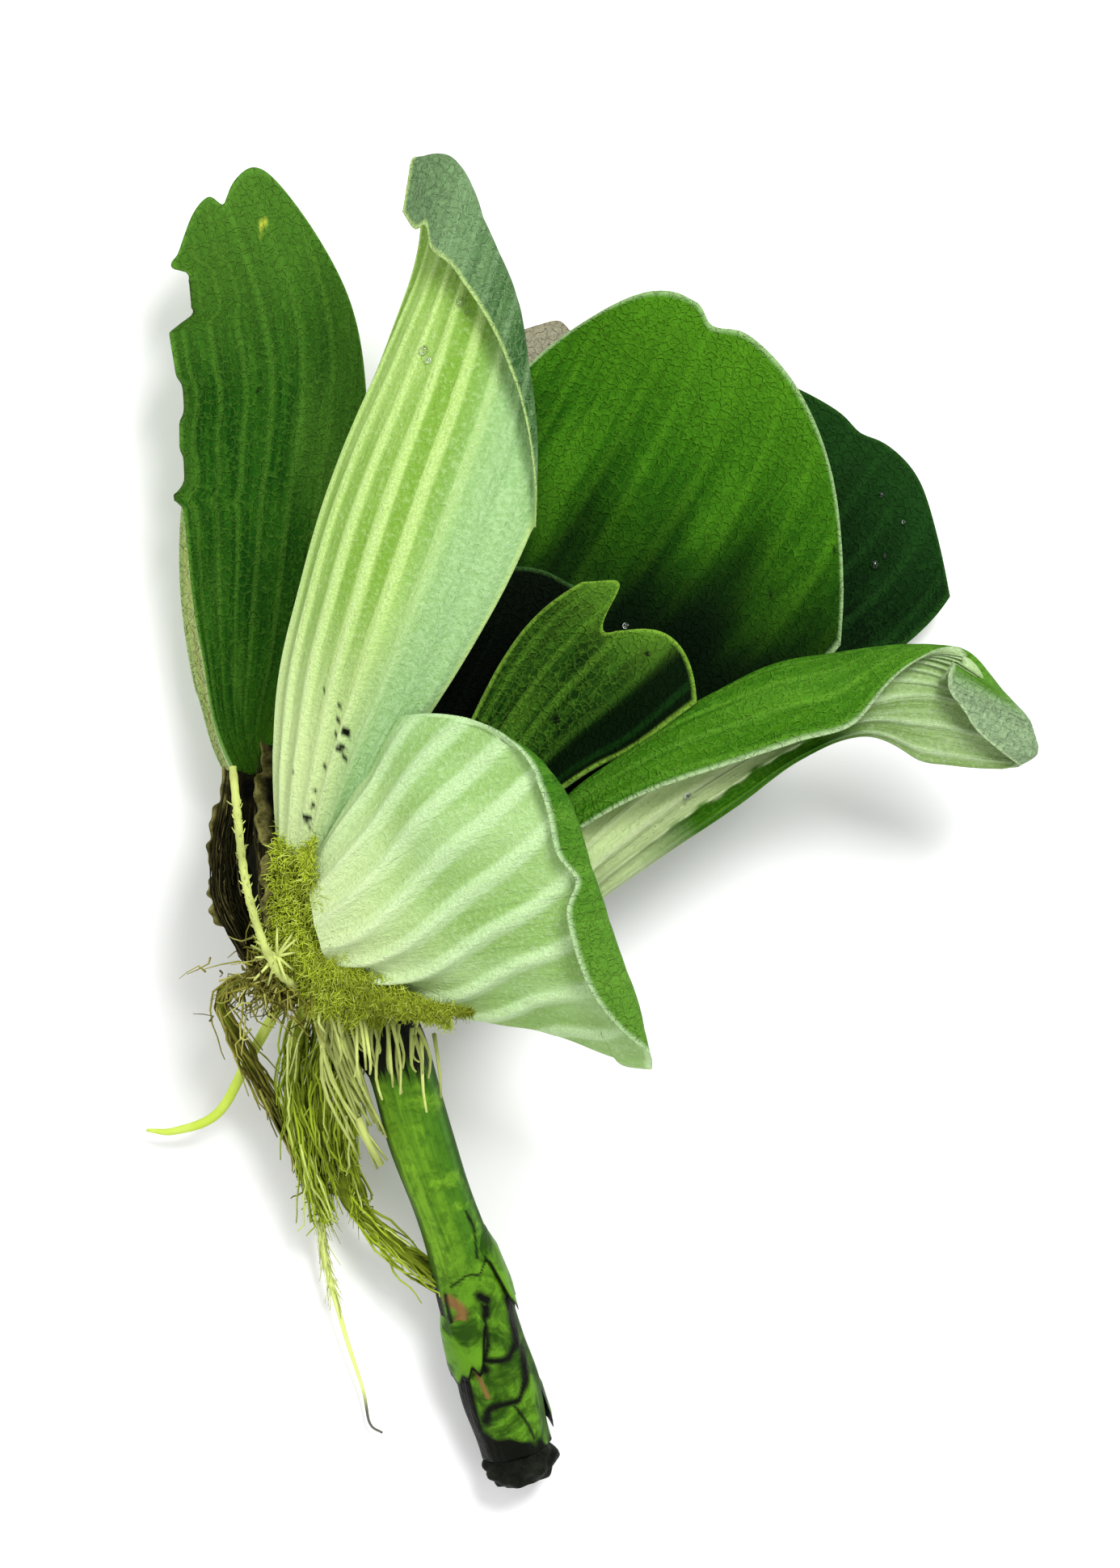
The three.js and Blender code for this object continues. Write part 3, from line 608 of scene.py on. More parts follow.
def leaf_finish(name, look, length, width):
    """Velvety green with fine veins above; pale, downy and pleated with light ribs below."""
    furrow, blade, streak, foot, foot_span, under_furrow, under_blade, under_rib = LOOKS[name]
    f = Finish(name, 0.6)
    rib = f.value("rib")
    along = f.value("along")
    uv = f.add("ShaderNodeUVMap", {}, uv_map="UVMap").outputs["UV"]
    across = f.add("ShaderNodeSeparateXYZ", {"Vector": uv}).outputs["X"]
    streaks = f.noise(f.surface(width * 2.2, length / 14), 1.0, 6.0, 0.65, 0.25)
    wide = f.noise(f.surface(width / 4, length / 30), 1.0, 3.0, 0.5)
    mottle = f.noise(f.place, 2100.0, 4.0, 0.7)
    grain = f.noise(f.place, 5200.0, 2.0, 0.6)
    patches = f.noise(f.place, 130.0, 4.0, 0.55)
    sway = f.add("ShaderNodeTexNoise", {"Vector": f.place, "Scale": 900.0}).outputs["Color"]
    warped = f.add("ShaderNodeVectorMath", {0: sway, 1: (0.0012, 0.0012, 0.0012), 2: f.place},
                   operation="MULTIPLY_ADD").outputs[0]
    web = f.add("ShaderNodeTexVoronoi", {"Vector": warped, "Scale": 1050.0}, feature="DISTANCE_TO_EDGE")
    veins = f.between(web.outputs["Distance"], 0.14, 0.03)
    top = f.mix(f.between(streaks, 0.36, 0.62), furrow, blade)
    top = f.mix(f.between(patches, 0.35, 0.7, 0, 0.45), top, furrow)
    top = f.mix(f.between(rib, 0.3, 1.0, 0, 0.4), top, streak)
    top = f.mix(f.between(wide, 0.5, 0.7, 0, 0.5), top, streak)
    top = f.mix(f.between(mottle, 0.5, 0.72, 0, 0.35), top, streak)
    top = f.mix(f.math("MULTIPLY", veins, 0.22), top, streak)
    top = f.mix(f.between(grain, 0.6, 0.4, 0, 0.35), top, furrow)
    top = f.mix(f.between(along, 0.72, 1.0, 0, 0.6), top, streak)
    if name in PALE_TIPS:
        tip = f.mix(f.between(mottle, 0.4, 0.65), darker(PALE_TIPS[name], 0.7), PALE_TIPS[name])
        top = f.mix(f.between(along, 0.90, 0.95), top, tip)
    # Painted shade near the crown: the upper side fades to its foot colour, near black on the inner leaves.
    reach = f.math("ADD", along, f.between(wide, 0.3, 0.7, -0.06, 0.06))
    reach = f.math("ADD", reach, f.between(across, 0.3, 1.0, 0, -0.1))
    top = f.mix(f.between(reach, foot_span[1], foot_span[0]), top, foot)
    shadow_side = f.between(across, *SHADOW_SIDES.get(name, (2, 3)))
    top = f.mix(shadow_side, top, f.mix(f.between(rib, 0.3, 1), darker(furrow, 0.4), darker(furrow, 1.4)))
    under = f.mix(f.between(rib, 0.0, 0.3), darker(under_furrow, 0.8), under_blade)
    under = f.mix(f.between(rib, 0.45, 1.0, 0, 0.7), under, under_rib)
    under = f.mix(f.between(streaks, 0.5, 0.72, 0, 0.35), under, under_furrow)
    under = f.mix(f.between(wide, 0.4, 0.65, 0, 0.5), under, under_blade)
    under = f.mix(f.between(mottle, 0.48, 0.66, 0, 0.3), under, under_rib)
    under = f.mix(f.between(grain, 0.6, 0.42, 0, 0.4), under, under_furrow)
    # Pale foot of the underside; on leaf_tall and leaf_right it runs far up the blade as painted light.
    low, high = PALE_FEET_AND_LIGHT.get(name, (0.24, 0.02))
    under = f.mix(f.between(along, low, high, 0, 0.75), under, tuple(look.pale_foot_and_light_colour))
    side_tone = f.between(across, *MINT_SIDES.get(name, (2, 3)))
    under = f.mix(side_tone, under, f.tones(mottle, *MINT_TONES))
    # Painted shade: where marked, the underside takes on the upper side's dark colours.
    under = f.mix(f.value("shaded"), under, top)
    colour = f.mix(f.value("lower"), top, under)
    colour = f.mix(f.between(f.value("rim"), 0.35, 0.9, 0, 0.7), colour, RIM_COLOURS.get(name, under_blade))
    colour = f.mix(f.value("yellowed"), colour, tuple(look.yellow_colour))
    colour = f.mix(f.value("spoiled"), colour, tuple(look.rot_and_shade_colour))
    normal = f.bump(streaks, 0.0004)
    normal = f.bump(mottle, 0.0003, normal)
    normal = f.bump(f.math("MULTIPLY", veins, f.between(f.value("lower"), 1, 0)), 0.00012, normal)
    return f.done(colour, normal)


def plain_finish(name, colour, light, scale=600.0, roughness=0.7, depth=0.0003):
    """Two tones in fine patches, slightly rough to the touch."""
    f = Finish(name, roughness)
    fine = f.noise(f.place, scale, 5.0, 0.65)
    broad = f.noise(f.place, scale / 5, 3.0)
    tone = f.tones(fine, colour, light)
    tone = f.mix(f.between(broad, 0.4, 0.65, 0, 0.6), tone, darker(colour, 0.6))
    return f.done(tone, f.bump(fine, depth))


def stolon_finish(look):
    """Waxy green with faint streaks; towards the cut end clear green windows sit between black lines."""
    f = Finish("stolon", 0.35)
    along = f.value("along")
    streaks = f.noise(f.surface(14, 3.0), 1.0, 6.0, 0.65, 0.6)
    patches = f.noise(f.place, 330.0, 5.0, 0.65, 0.5)
    clear = f.noise(f.place, 230.0, 4.0, 0.6, 0.8)
    tissue = f.noise(f.place, 900.0, 4.0, 0.7, 0.5)
    side = f.between(f.value("sideways"), -0.9, 0.9)
    fresh = f.mix(side, tuple(look.stolon_light), tuple(look.stolon_colour))
    fresh = f.mix(f.between(streaks, 0.4, 0.65, 0, 0.7), fresh, darker(look.stolon_colour, 0.8))
    fresh = f.mix(f.between(patches, 0.5, 0.66, 0, 0.6), fresh, darker(look.stolon_light, 1.15))
    fresh = f.mix(f.between(tissue, 0.55, 0.35, 0, 0.5), fresh, darker(look.stolon_colour, 0.5))
    window = f.mix(f.between(clear, 0.36, 0.6), darker(look.stolon_colour, 0.35), tuple(look.window_colour))
    window = f.mix(f.between(tissue, 0.55, 0.4, 0, 0.5), window, darker(look.stolon_colour, 0.3))
    stale = f.between(f.math("ADD", along, f.math("MULTIPLY", patches, 0.1)), 0.6, 0.7)
    colour = f.mix(stale, fresh, window)
    # Painted shade: both sides of the runner are darkened where it turns away.
    edge = f.between(f.math("ABSOLUTE", f.value("sideways"), 0.0), 0.8, 1.0, 0, 0.85)
    colour = f.mix(edge, colour, darker(look.stolon_colour, 0.25))
    # Painted shade: the first part of the runner, under the crown and the roots, is darkened to near black.
    shade = f.math("ADD", along, f.between(streaks, 0.3, 0.7, -0.03, 0.03))
    colour = f.mix(f.between(shade, 0.2, 0.16), colour, darker(look.rot_and_shade_colour, 1.6))
    colour = f.mix(f.value("scar"), colour, (0.20, 0.11, 0.035))
    colour = f.mix(f.value("dark"), colour, tuple(look.rot_and_shade_colour))
    normal = f.bump(streaks, 0.0003)
    normal = f.bump(f.math("MULTIPLY", clear, stale), 0.0007, normal)
    return f.done(colour, normal)


# Settings --------------------------------------------------------------------------------------------------


def colour_property(name, description, default):
    return bpy.props.FloatVectorProperty(name=name, description=description, default=default, subtype="COLOR",
                                         size=3, min=0, max=1)


class LettuceSizes(bpy.types.PropertyGroup):
    rib_height: bpy.props.FloatProperty(
        name="Rib height", description="How far the ribs stand off a leaf's underside", default=0.75 * MM,
        unit="LENGTH")
    ripple: bpy.props.FloatProperty(
        name="Ripple", description="How far a blade sways from its smooth shape", default=0.35 * MM,
        unit="LENGTH")
    down_length: bpy.props.FloatProperty(
        name="Down length", description="Length of the hairs on the crown", default=0.85 * MM, unit="LENGTH")
    rootlet_length: bpy.props.FloatProperty(
        name="Rootlet length", description="Length of the fine side roots", default=3.4 * MM, unit="LENGTH")


class LettuceColours(bpy.types.PropertyGroup):
    # This pale foot colour is also the painted light on the undersides of leaf_tall and leaf_right.
    pale_foot_and_light_colour: colour_property("Leaf foot", "Underside close to the crown", (0.62, 0.74, 0.38))
    crown_colour: colour_property("Crown", "Short stem of the plant", (0.55, 0.68, 0.05))
    crown_light: colour_property("Crown down", "Hairs on the crown", (0.68, 0.78, 0.18))
    stolon_colour: colour_property("Runner", "Runner's skin", (0.05, 0.16, 0.010))
    stolon_light: colour_property("Runner streaks", "Lighter streaks of the runner", (0.17, 0.35, 0.02))
    window_colour: colour_property("Runner windows", "Clear tissue near the cut end", (0.10, 0.25, 0.013))
    # Made a little lighter, this is also the painted shade on the runner under the crown.
    rot_and_shade_colour: colour_property("Rot", "Rotten tissue", (0.004, 0.005, 0.003))
    root_colour: colour_property("Roots", "Feathery roots", (0.33, 0.44, 0.03))
    root_light: colour_property("Root tips", "Lighter side roots", (0.66, 0.74, 0.26))
    pale_root: colour_property("Pale roots", "Pale bristly roots", (0.66, 0.75, 0.22))
    paper_colour: colour_property("Papery edges", "Torn dry edges of the old sheath", (0.30, 0.26, 0.10))
    yellow_colour: colour_property("Yellow marks", "Yellow marks on a leaf", (0.42, 0.48, 0.05))
    shoot_colour: colour_property("Shoot", "Young shoot", (0.50, 0.66, 0.06))


# Pieces ----------------------------------------------------------------------------------------------------

# Each leaf's colours: the furrows, the blade and the streaks of its upper side and the foot they fade to,
# how far along the blade that foot goes, then the furrows, the blade and the ribs of its underside. For
# leaf_heart, leaf_heart_side, leaf_broad and leaf_dark that foot is near-black painted shade where the leaves
# crowd together at the crown.
LOOKS = {
    "leaf_front": [
        (0.02, 0.11, 0.004), (0.05, 0.18, 0.008), (0.14, 0.32, 0.035), (0.08, 0.22, 0.02),
        (0.0, 0.2), (0.31, 0.53, 0.14), (0.54, 0.74, 0.40), (0.66, 0.83, 0.53),
    ],
    "leaf_tall": [
        (0.02, 0.08, 0.015), (0.10, 0.20, 0.065), (0.26, 0.41, 0.20), (0.08, 0.22, 0.02),
        (0.0, 0.2), (0.22, 0.42, 0.05), (0.50, 0.69, 0.23), (0.62, 0.78, 0.40),
    ],
    "leaf_right": [
        (0.025, 0.12, 0.003), (0.053, 0.18, 0.005), (0.14, 0.35, 0.03), (0.03, 0.13, 0.005),
        (0.05, 0.3), (0.30, 0.48, 0.14), (0.50, 0.66, 0.36), (0.68, 0.78, 0.58),
    ],
    "leaf_heart": [
        (0.003, 0.020, 0.002), (0.03, 0.11, 0.007), (0.14, 0.33, 0.025), (0.002, 0.009, 0.001),
        (0.12, 0.42), (0.20, 0.36, 0.08), (0.36, 0.54, 0.22), (0.50, 0.66, 0.38),
    ],
    # leaf_heart_side: its upper side is near black all over, painted shade where it lies under the other
    # leaves.
    "leaf_heart_side": [
        (0.0003, 0.001, 0.0003), (0.0006, 0.002, 0.0005), (0.003, 0.008, 0.002), (0.001, 0.003, 0.001),
        (0.2, 0.8), (0.20, 0.36, 0.08), (0.36, 0.54, 0.22), (0.50, 0.66, 0.38),
    ],
    "leaf_broad": [
        (0.012, 0.085, 0.002), (0.032, 0.15, 0.004), (0.10, 0.31, 0.012), (0.001, 0.006, 0.001),
        (0.44, 0.82), (0.20, 0.38, 0.08), (0.36, 0.55, 0.24), (0.50, 0.66, 0.38),
    ],
    # leaf_dark: the leaf's own dark green, deepened towards black as painted shade.
    "leaf_dark": [
        (0.001, 0.008, 0.001), (0.003, 0.022, 0.003), (0.015, 0.07, 0.010), (0.001, 0.004, 0.001),
        (0.3, 0.75), (0.10, 0.20, 0.05), (0.20, 0.34, 0.12), (0.32, 0.46, 0.22),
    ],
    "leaf_withered": [
        (0.18, 0.16, 0.10), (0.34, 0.31, 0.21), (0.48, 0.45, 0.33), (0.10, 0.09, 0.05),
        (0.0, 0.3), (0.14, 0.12, 0.07), (0.28, 0.25, 0.16), (0.38, 0.35, 0.24),
    ],
    "leaf_left": [
        (0.005, 0.045, 0.002), (0.023, 0.108, 0.005), (0.09, 0.23, 0.022), (0.05, 0.16, 0.006),
        (0.0, 0.3), (0.20, 0.38, 0.08), (0.36, 0.55, 0.24), (0.50, 0.66, 0.38),
    ],
    # leaf_left_under: a pale leaf whose upper colours and foot are raised to near white as painted light,
    # against the shade it lies in.
    "leaf_left_under": [
        (0.72, 0.86, 0.22), (0.92, 0.97, 0.50), (0.96, 0.98, 0.66), (0.76, 0.87, 0.30),
        (0.0, 0.3), (0.30, 0.48, 0.12), (0.46, 0.64, 0.26), (0.56, 0.72, 0.40),
    ],
}
# Where across a leaf, from 0 at its left rim to 1, the upper side falls into shadow.
SHADOW_SIDES = {"leaf_heart": (0.62, 0.78), "leaf_dark": (0.9, 1.5)}
# Where along a leaf the pale foot of the underside ends and where it is full, if not close to the crown. On
# leaf_tall and leaf_right it reaches far up the blade as painted light, brightening underside that lies in
# shade; on leaf_front it is the foot's own creamy colour.
PALE_FEET_AND_LIGHT = {"leaf_right": (0.66, 0.5), "leaf_tall": (0.4, 0.05), "leaf_front": (0.45, 0.03)}
# Leaves whose upper side turns pale at the tip.
PALE_TIPS = {"leaf_right": (0.34, 0.50, 0.26), "leaf_tall": (0.16, 0.28, 0.12)}
# Where across a leaf the underside turns minty, and the two tones of it.
MINT_SIDES = {"leaf_tall": (0.42, 0.18), "leaf_front": (0.7, 1.3)}
MINT_TONES = [(0.26, 0.45, 0.17), (0.37, 0.57, 0.27)]
RIM_COLOURS = {"leaf_heart": (0.22, 0.42, 0.04), "leaf_heart_side": (0.05, 0.13, 0.03),
               "leaf_dark": (0.02, 0.08, 0.01), "leaf_left": (0.10, 0.26, 0.03)}


def shade_on(leaf, u, s, lower):
    """Where the underside near the left rim is painted in shade, as dark as the upper side."""
    if "painted_shade_rim" not in leaf:
        return np.zeros(len(u))
    first, last, inner = leaf["painted_shade_rim"]
    ragged = inner + 0.06 * np.sin(160 * s) + 0.04 * np.sin(67 * s)
    within = np.clip((s - first) * 12, 0, 1) * np.clip((last - s) * 12, 0, 1)
    return lower * within * np.clip((-u - ragged) * 12, 0, 1)


def make_leaf(name, sizes):
    """One leaf blade as a closed plate bent to its shape, with ribs below and shallow furrows above."""
    blade = Blade(name)
    leaf = blade.leaf
    folds = "fold" in leaf
    columns = 130 if leaf["width"] > 15 else 96
    rows = 190 if folds else 150
    piece = plate(name + "_blade", columns, rows)
    mesh = piece.data
    local = coordinates(mesh)
    u = np.sin(local[:, 0] * 1.35) / math.sin(1.35)
    v = (local[:, 1] + 1) / 2
    body_share = 0.8 if folds else 1.0
    body = np.minimum(v / body_share, 1)
    fold_length = blade.fold(u)
    folded = np.maximum(v - body_share, 0) / (1 - body_share) * fold_length if folds else np.zeros(len(u))
    point, out, s = blade.surface(u, body, folded)
    lower = local[:, 2] < -0.5
    edge = np.clip((1 - np.abs(u)) * leaf["width"] / 1.2, 0, 1)
    left_over = (1 - body) * blade.reach(u) * leaf["length"] + fold_length - folded
    edge = np.minimum(edge, np.clip(left_over / 1.2, 0, 1))
    rounding = np.sqrt(np.clip(1 - (1 - edge) ** 2, 0.02, 1))
    middle = ramp([FOOT_THICKNESS, MIDDLE_THICKNESS, MIDDLE_THICKNESS * 0.7, RIM_THICKNESS], s)
    thickness = (RIM_THICKNESS + np.maximum(middle - RIM_THICKNESS, 0) * (1 - u**2)) * rounding
    sway = u * (blade.half(("left", "right"), u, s) / 1.05) ** leaf.get("parallel", 0)
    sway = sway - s * (leaf.get("slant", 0) + leaf.get("fan", 0) * u)
    sway = sway + 0.03 * np.sin(5 * s + 1.7) + 0.008 * np.sin(13 * s + 3 * u)
    sharp = 0.9 + 1.4 * s
    count = np.where(u < 0, leaf.get("near_ribs", leaf["ribs"]), leaf["ribs"])
    phase = math.pi * count * sway
    rib = (0.5 + 0.5 * np.cos(phase + 0.55 * np.sin(phase))) ** sharp
    fade = np.clip(1.15 - s, 0.12, 1) * np.clip(edge * 1.5, 0, 1)
    tall = sizes.rib_height / MM * leaf["width"] / 14
    tall = tall * np.clip((1 - np.abs(u)) * 3 + 0.2, 0, 1) * np.clip(s * 8 + 0.1, 0, 1)
    ripple = sizes.ripple / MM * waves(point, 7, len(name)) * np.clip(s * 3, 0, 1)
    rise = np.where(lower, -thickness - tall * rib * fade, -0.25 * tall * rib * fade) + ripple
    reshape(mesh, point + out * rise[:, None])
    mark(mesh, "lower", lower)
    mark(mesh, "rib", np.where(lower, rib * fade, rib * np.clip(edge * 1.5, 0, 1)))
    mark(mesh, "along", s)
    mark(mesh, "rim", 1 - edge)
    mark(mesh, "shaded", shade_on(leaf, u, s, lower))
    spoiled = np.zeros(len(u))
    yellowed = np.zeros(len(u))
    ragged = 1 + 0.45 * waves(point, 0.6, 8)
    for x, y, radius, dark in SPOTS.get(name, []):
        distance = np.hypot((point[:, 0] - x) * 1.3, point[:, 1] - y)
        spot = np.clip((1.1 - distance / radius * ragged) * 3, 0, 1)
        target = spoiled if dark else yellowed
        np.maximum(target, spot, out=target)
    for place, span, _ in BITES.get(name, []):
        near = np.exp(-(((s - place) / (span * 1.4)) ** 4)) * (u < 0)
        spoiled = np.maximum(spoiled, near * np.clip((np.abs(u) - 0.93) / 0.07, 0, 1) * 0.7)
    mark(mesh, "spoiled", spoiled)
    mark(mesh, "yellowed", yellowed)
    lay_uv(mesh, (u + 1) / 2, s)
    return piece


def make_drops(name, leaf_mesh):
    """The water drops on a leaf, each sitting on whichever side of it looks up."""
    surface = coordinates(leaf_mesh) / MM - OFFSET
    bm = bmesh.new()
    for x, y, radius in DROPS[name]:
        near = surface[np.hypot(surface[:, 0] - x, surface[:, 1] - y) < 0.6]
        made = bmesh.ops.create_icosphere(bm, subdivisions=3, radius=radius * MM)
        bmesh.ops.scale(bm, verts=made["verts"], vec=(1, 1, 0.7))
        bmesh.ops.translate(bm, verts=made["verts"], vec=in_frame((x, y, near[:, 2].max() + radius * 0.2)))
    return finish_mesh(name + "_drops", bm)


class LETTUCE_OT_leaves(bpy.types.Operator):
    """Ten leaf blades, each bent, ribbed and downy"""

    bl_idname = "lettuce.leaves"
    bl_label = "Leaves"

    def execute(self, context):
        sizes, look = context.scene.lettuce_sizes, context.scene.lettuce_colours
        slots = {item["node"]: item["material_slot"] for item in frame["record"]["subparts"]}
        water = Finish("water", 0.03, 0.5)
        water.shader.inputs["Transmission Weight"].default_value = 1
        water.shader.inputs["Base Color"].default_value = (1, 1, 1, 1)
        for name, leaf in LEAVES.items():
            piece = make_leaf(name, sizes)
            settle(piece, leaf_finish(name, look, leaf["length"], leaf["width"]), slots[name], name)
            if name in DROPS:
                settle(make_drops(name, piece.data), water.material, slots[name])
        return {"FINISHED"}


def crown_points(directions):
    """Points on the crown's surface for unit directions, in mm. Its lower right side is flatter."""
    local = directions * CROWN_SIZE / 2
    local[:, 0] = np.where(local[:, 0] > 0, CROWN_FLATTER, 1) * local[:, 0]
    cos, sin = math.cos(CROWN_LEAN), math.sin(CROWN_LEAN)
    turned = [local[:, 0] * cos - local[:, 1] * sin, local[:, 0] * sin + local[:, 1] * cos, local[:, 2]]
    return np.column_stack(turned) + CROWN_CENTRE


def bare_side(points):
    """How far in mm each point lies inside the bare, rotten left side of the crown."""
    return -30.6 + 0.175 * points[:, 1] - points[:, 0]


def down_strands(base, outward, length, lift, rng):
    """Short curly hairs that lie along a surface and lift off it."""
    flow = rng.normal(size=base.shape) + [0.2, -0.5, 0]
    flow = unit(flow - outward * np.sum(flow * outward, -1, keepdims=True))
    reach = length * rng.uniform(0.5, 1.3, len(base))[:, None]
    curl = rng.normal(size=base.shape) * 0.35
    middle = base + reach * (flow * 0.5 + outward * lift * 0.8 + curl * 0.3)
    tips = base + reach * (flow * 0.9 + outward * lift + curl)
    return np.stack([base - outward * 0.3, middle, tips], axis=1)


def hair_finish(name, dark, light, pale):
    """Threads that each have their own tone."""
    f = Finish(name, 0.75)
    tone = f.add("ShaderNodeNewGeometry", {}).outputs["Random Per Island"]
    patches = f.noise(f.place, 260.0, 3.0)
    colour = f.mix(f.between(tone, 0.0, 0.75), dark, light)
    colour = f.mix(f.between(tone, 0.75, 1.0), colour, pale)
    colour = f.mix(f.between(patches, 0.4, 0.7, 0, 0.6), colour, darker(dark, 0.6))
    return f.done(colour)


def crown_finish(look):
    """Grainy green, and black where the crown is bare and rotten."""
    f = Finish("crown", 0.85)
    fine = f.noise(f.place, 900.0, 5.0, 0.65)
    green = f.tones(fine, darker(look.crown_colour, 0.12), darker(look.crown_colour, 0.6))
    return f.done(f.mix(f.value("bare"), green, (0.006, 0.006, 0.003)), f.bump(fine, 0.0006))


def crown_stem():
    """The short lumpy stem under the down."""
    bm = bmesh.new()
    bmesh.ops.create_icosphere(bm, subdivisions=6, radius=1)
    piece = finish_mesh("crown_stem", bm)
    surface = crown_points(unit(coordinates(piece.data)))
    lumps = waves(surface, 2.0, 5) * 0.35 + waves(surface, 0.8, 6) * 0.15 - 0.5
    reshape(piece.data, surface + unit(surface - CROWN_CENTRE) * lumps[:, None])
    mark(piece.data, "bare", np.clip(bare_side(surface) * 1.5, 0, 1))
    return piece


def tail_radius(share, widest):
    """The radius of the crown's tail, which thins towards its tip."""
    return widest * (1 - share) ** 0.8


def tail_hairs(length, rng):
    """Hairs all around the crown's tail."""
    share = rng.uniform(0, 0.97, TAIL_HAIRS)
    angle = rng.uniform(0, 2 * math.pi, len(share))
    points, side, top = frames_along(CROWN_TAIL, share)
    outward = around(side, top, angle)
    return down_strands(points + outward * tail_radius(share, 1.75)[:, None], outward, length, 0.35, rng)


def foot_hairs(length, rng):
    """Hairs on the front leaf's foot, closest together where the crown's down runs up on it."""
    across, along = rng.uniform(-0.98, 0.98, (2, FOOT_TRIES))
    point, out, _ = Blade("leaf_front").surface(across, (along + 1) * 0.3, np.zeros(FOOT_TRIES))
    line = spline(FOOT_LINE, np.linspace(0, 1, 60))
    gap = np.min([np.hypot(point[:, 0] - x, point[:, 1] - y) for x, y in line], axis=0)
    near = gap < np.minimum(rng.exponential(0.9, FOOT_TRIES), 2)
    base = (point - out * (FOOT_THICKNESS * 0.8))[near][:FOOT_HAIRS]
    return down_strands(base, -out[near][:FOOT_HAIRS], length, 0.3, rng)


class LETTUCE_OT_crown(bpy.types.Operator):
    """The short lumpy stem and the dense curly down on it"""

    bl_idname = "lettuce.crown"
    bl_label = "Crown"

    def execute(self, context):
        sizes, look = context.scene.lettuce_sizes, context.scene.lettuce_colours
        finish = crown_finish(look)
        settle(crown_stem(), finish, "crown", "crown")
        tail = swept("crown_tail", CROWN_TAIL, lambda share, angle: tail_radius(share, 1.8) + 0.08, 20, 30)
        settle(tail, finish, "crown")
        green, light = tuple(look.crown_colour), tuple(look.crown_light)
        down = hair_finish("crown_down", darker(green, 0.4), green, light)
        rng = np.random.default_rng(11)
        length = sizes.down_length / MM
        for number in range(CROWN_COATS):
            base = crown_points(unit(rng.normal(size=(COAT_HAIRS, 3)) + [0, 0, 0.4]))
            base = base[bare_side(base) < 0]
            hairs = down_strands(base, unit(base - CROWN_CENTRE), length, 0.5, rng)
            settle(strands(f"crown_down_{number + 1}", hairs, 0.055), down, "crown")
        dim = hair_finish("crown_tail_down", darker(green, 0.25), darker(green, 0.65), darker(light, 0.75))
        settle(strands("crown_tail_down", tail_hairs(length * 0.7, rng), 0.05), dim, "crown")
        settle(strands("leaf_foot_down", foot_hairs(length, rng), 0.05), down, "crown")
        return {"FINISHED"}


def line_marks(across, run, lines):
    """How strongly points in mm across and along lie on lines, which each end with their half-width."""
    total = np.zeros(len(across))
    for *points, width in lines:
        route = spline(np.array(points, float), np.linspace(0, 1, 24))
        for start, stop in zip(route[:-1], route[1:]):
            step = stop - start
            share = ((across - start[0]) * step[0] + (run - start[1]) * step[1]) / (step @ step)
            share = np.clip(share, 0, 1)
            gap = np.hypot(across - start[0] - share * step[0], run - start[1] - share * step[1])
            total = np.maximum(total, np.clip(1.5 - gap / width, 0, 1))
    return total


def stolon_radius(share, angle):
    """The runner's radius: faint flutes and swellings, and a thicker knotty end where it goes stale."""
    swell = 0.12 * np.sin(9 * share + 0.5) + 0.08 * np.sin(23 * share + 2 * angle)
    flutes = 0.04 * np.cos(11 * angle + 2 * share)
    steps = 0.14 * np.clip((share - 0.55) * 3, 0, 1) * np.sin(31 * share + 1.5 * np.sin(angle))
    return STOLON_DIAMETER / 2 + 0.05 + swell + flutes + steps + stale_swell(share)


def stale_swell(share):
    """How much the stale end of the runner is swollen, in mm."""
    return 0.55 * np.clip((share - STALE_SHARE) * 5, 0, 1)


def rotten_end_radius(share, angle):
    """The radius of the lumpy rotten end, which widens and then draws in at its tip."""
    wide = STOLON_END_WIDTH
    profile = ramp([STOLON_DIAMETER / 2 * 0.97, wide / 2, wide / 1.95, wide / 2.6], share)
    return profile * (1 + 0.07 * np.sin(5 * angle + 8 * share) + 0.04 * np.sin(11 * angle - 9 * share))


def mark_stolon(mesh):
    """Lays the runner's UV map and marks how its skin faces, what is dark or rotten and its brown scars."""
    turn, along = (read_mark(mesh, name) for name in ("turn", "along"))
    lay_uv(mesh, np.abs(turn - 0.5) * 2, along)
    turn = turn * 2 * math.pi - math.pi
    run = along * STOLON_LENGTH
    across = -np.cos(turn) * stolon_radius(run / STOLON_LENGTH, turn)
    top = np.sin(turn) < 0.2
    worn = waves(coordinates(mesh) / MM, 1.3, 21)
    dark = line_marks(across + 0.12 * worn, run + 0.2 * worn, STOLON_LINES) * top
    mark(mesh, "sideways", -np.cos(turn))
    rim = ramp([4, 4, 4, 4, 4, 3.4, 3.0, 2.7, 2.6, 2.5], run / STOLON_LENGTH)
    band = np.clip((-across - rim + 0.25 * worn) * 3, 0, 1)
    under = (~top) * np.clip((run - 30) / 5 + 0.6 * worn, 0, 1)
    end = np.clip((run - 49.6 - 0.55 * across + 0.6 * worn) * 1.5, 0, 1)
    mark(mesh, "dark", np.maximum.reduce([dark, band, under, end]))
    mark(mesh, "scar", line_marks(across, run + 0.2 * worn, STOLON_SCARS) * top)


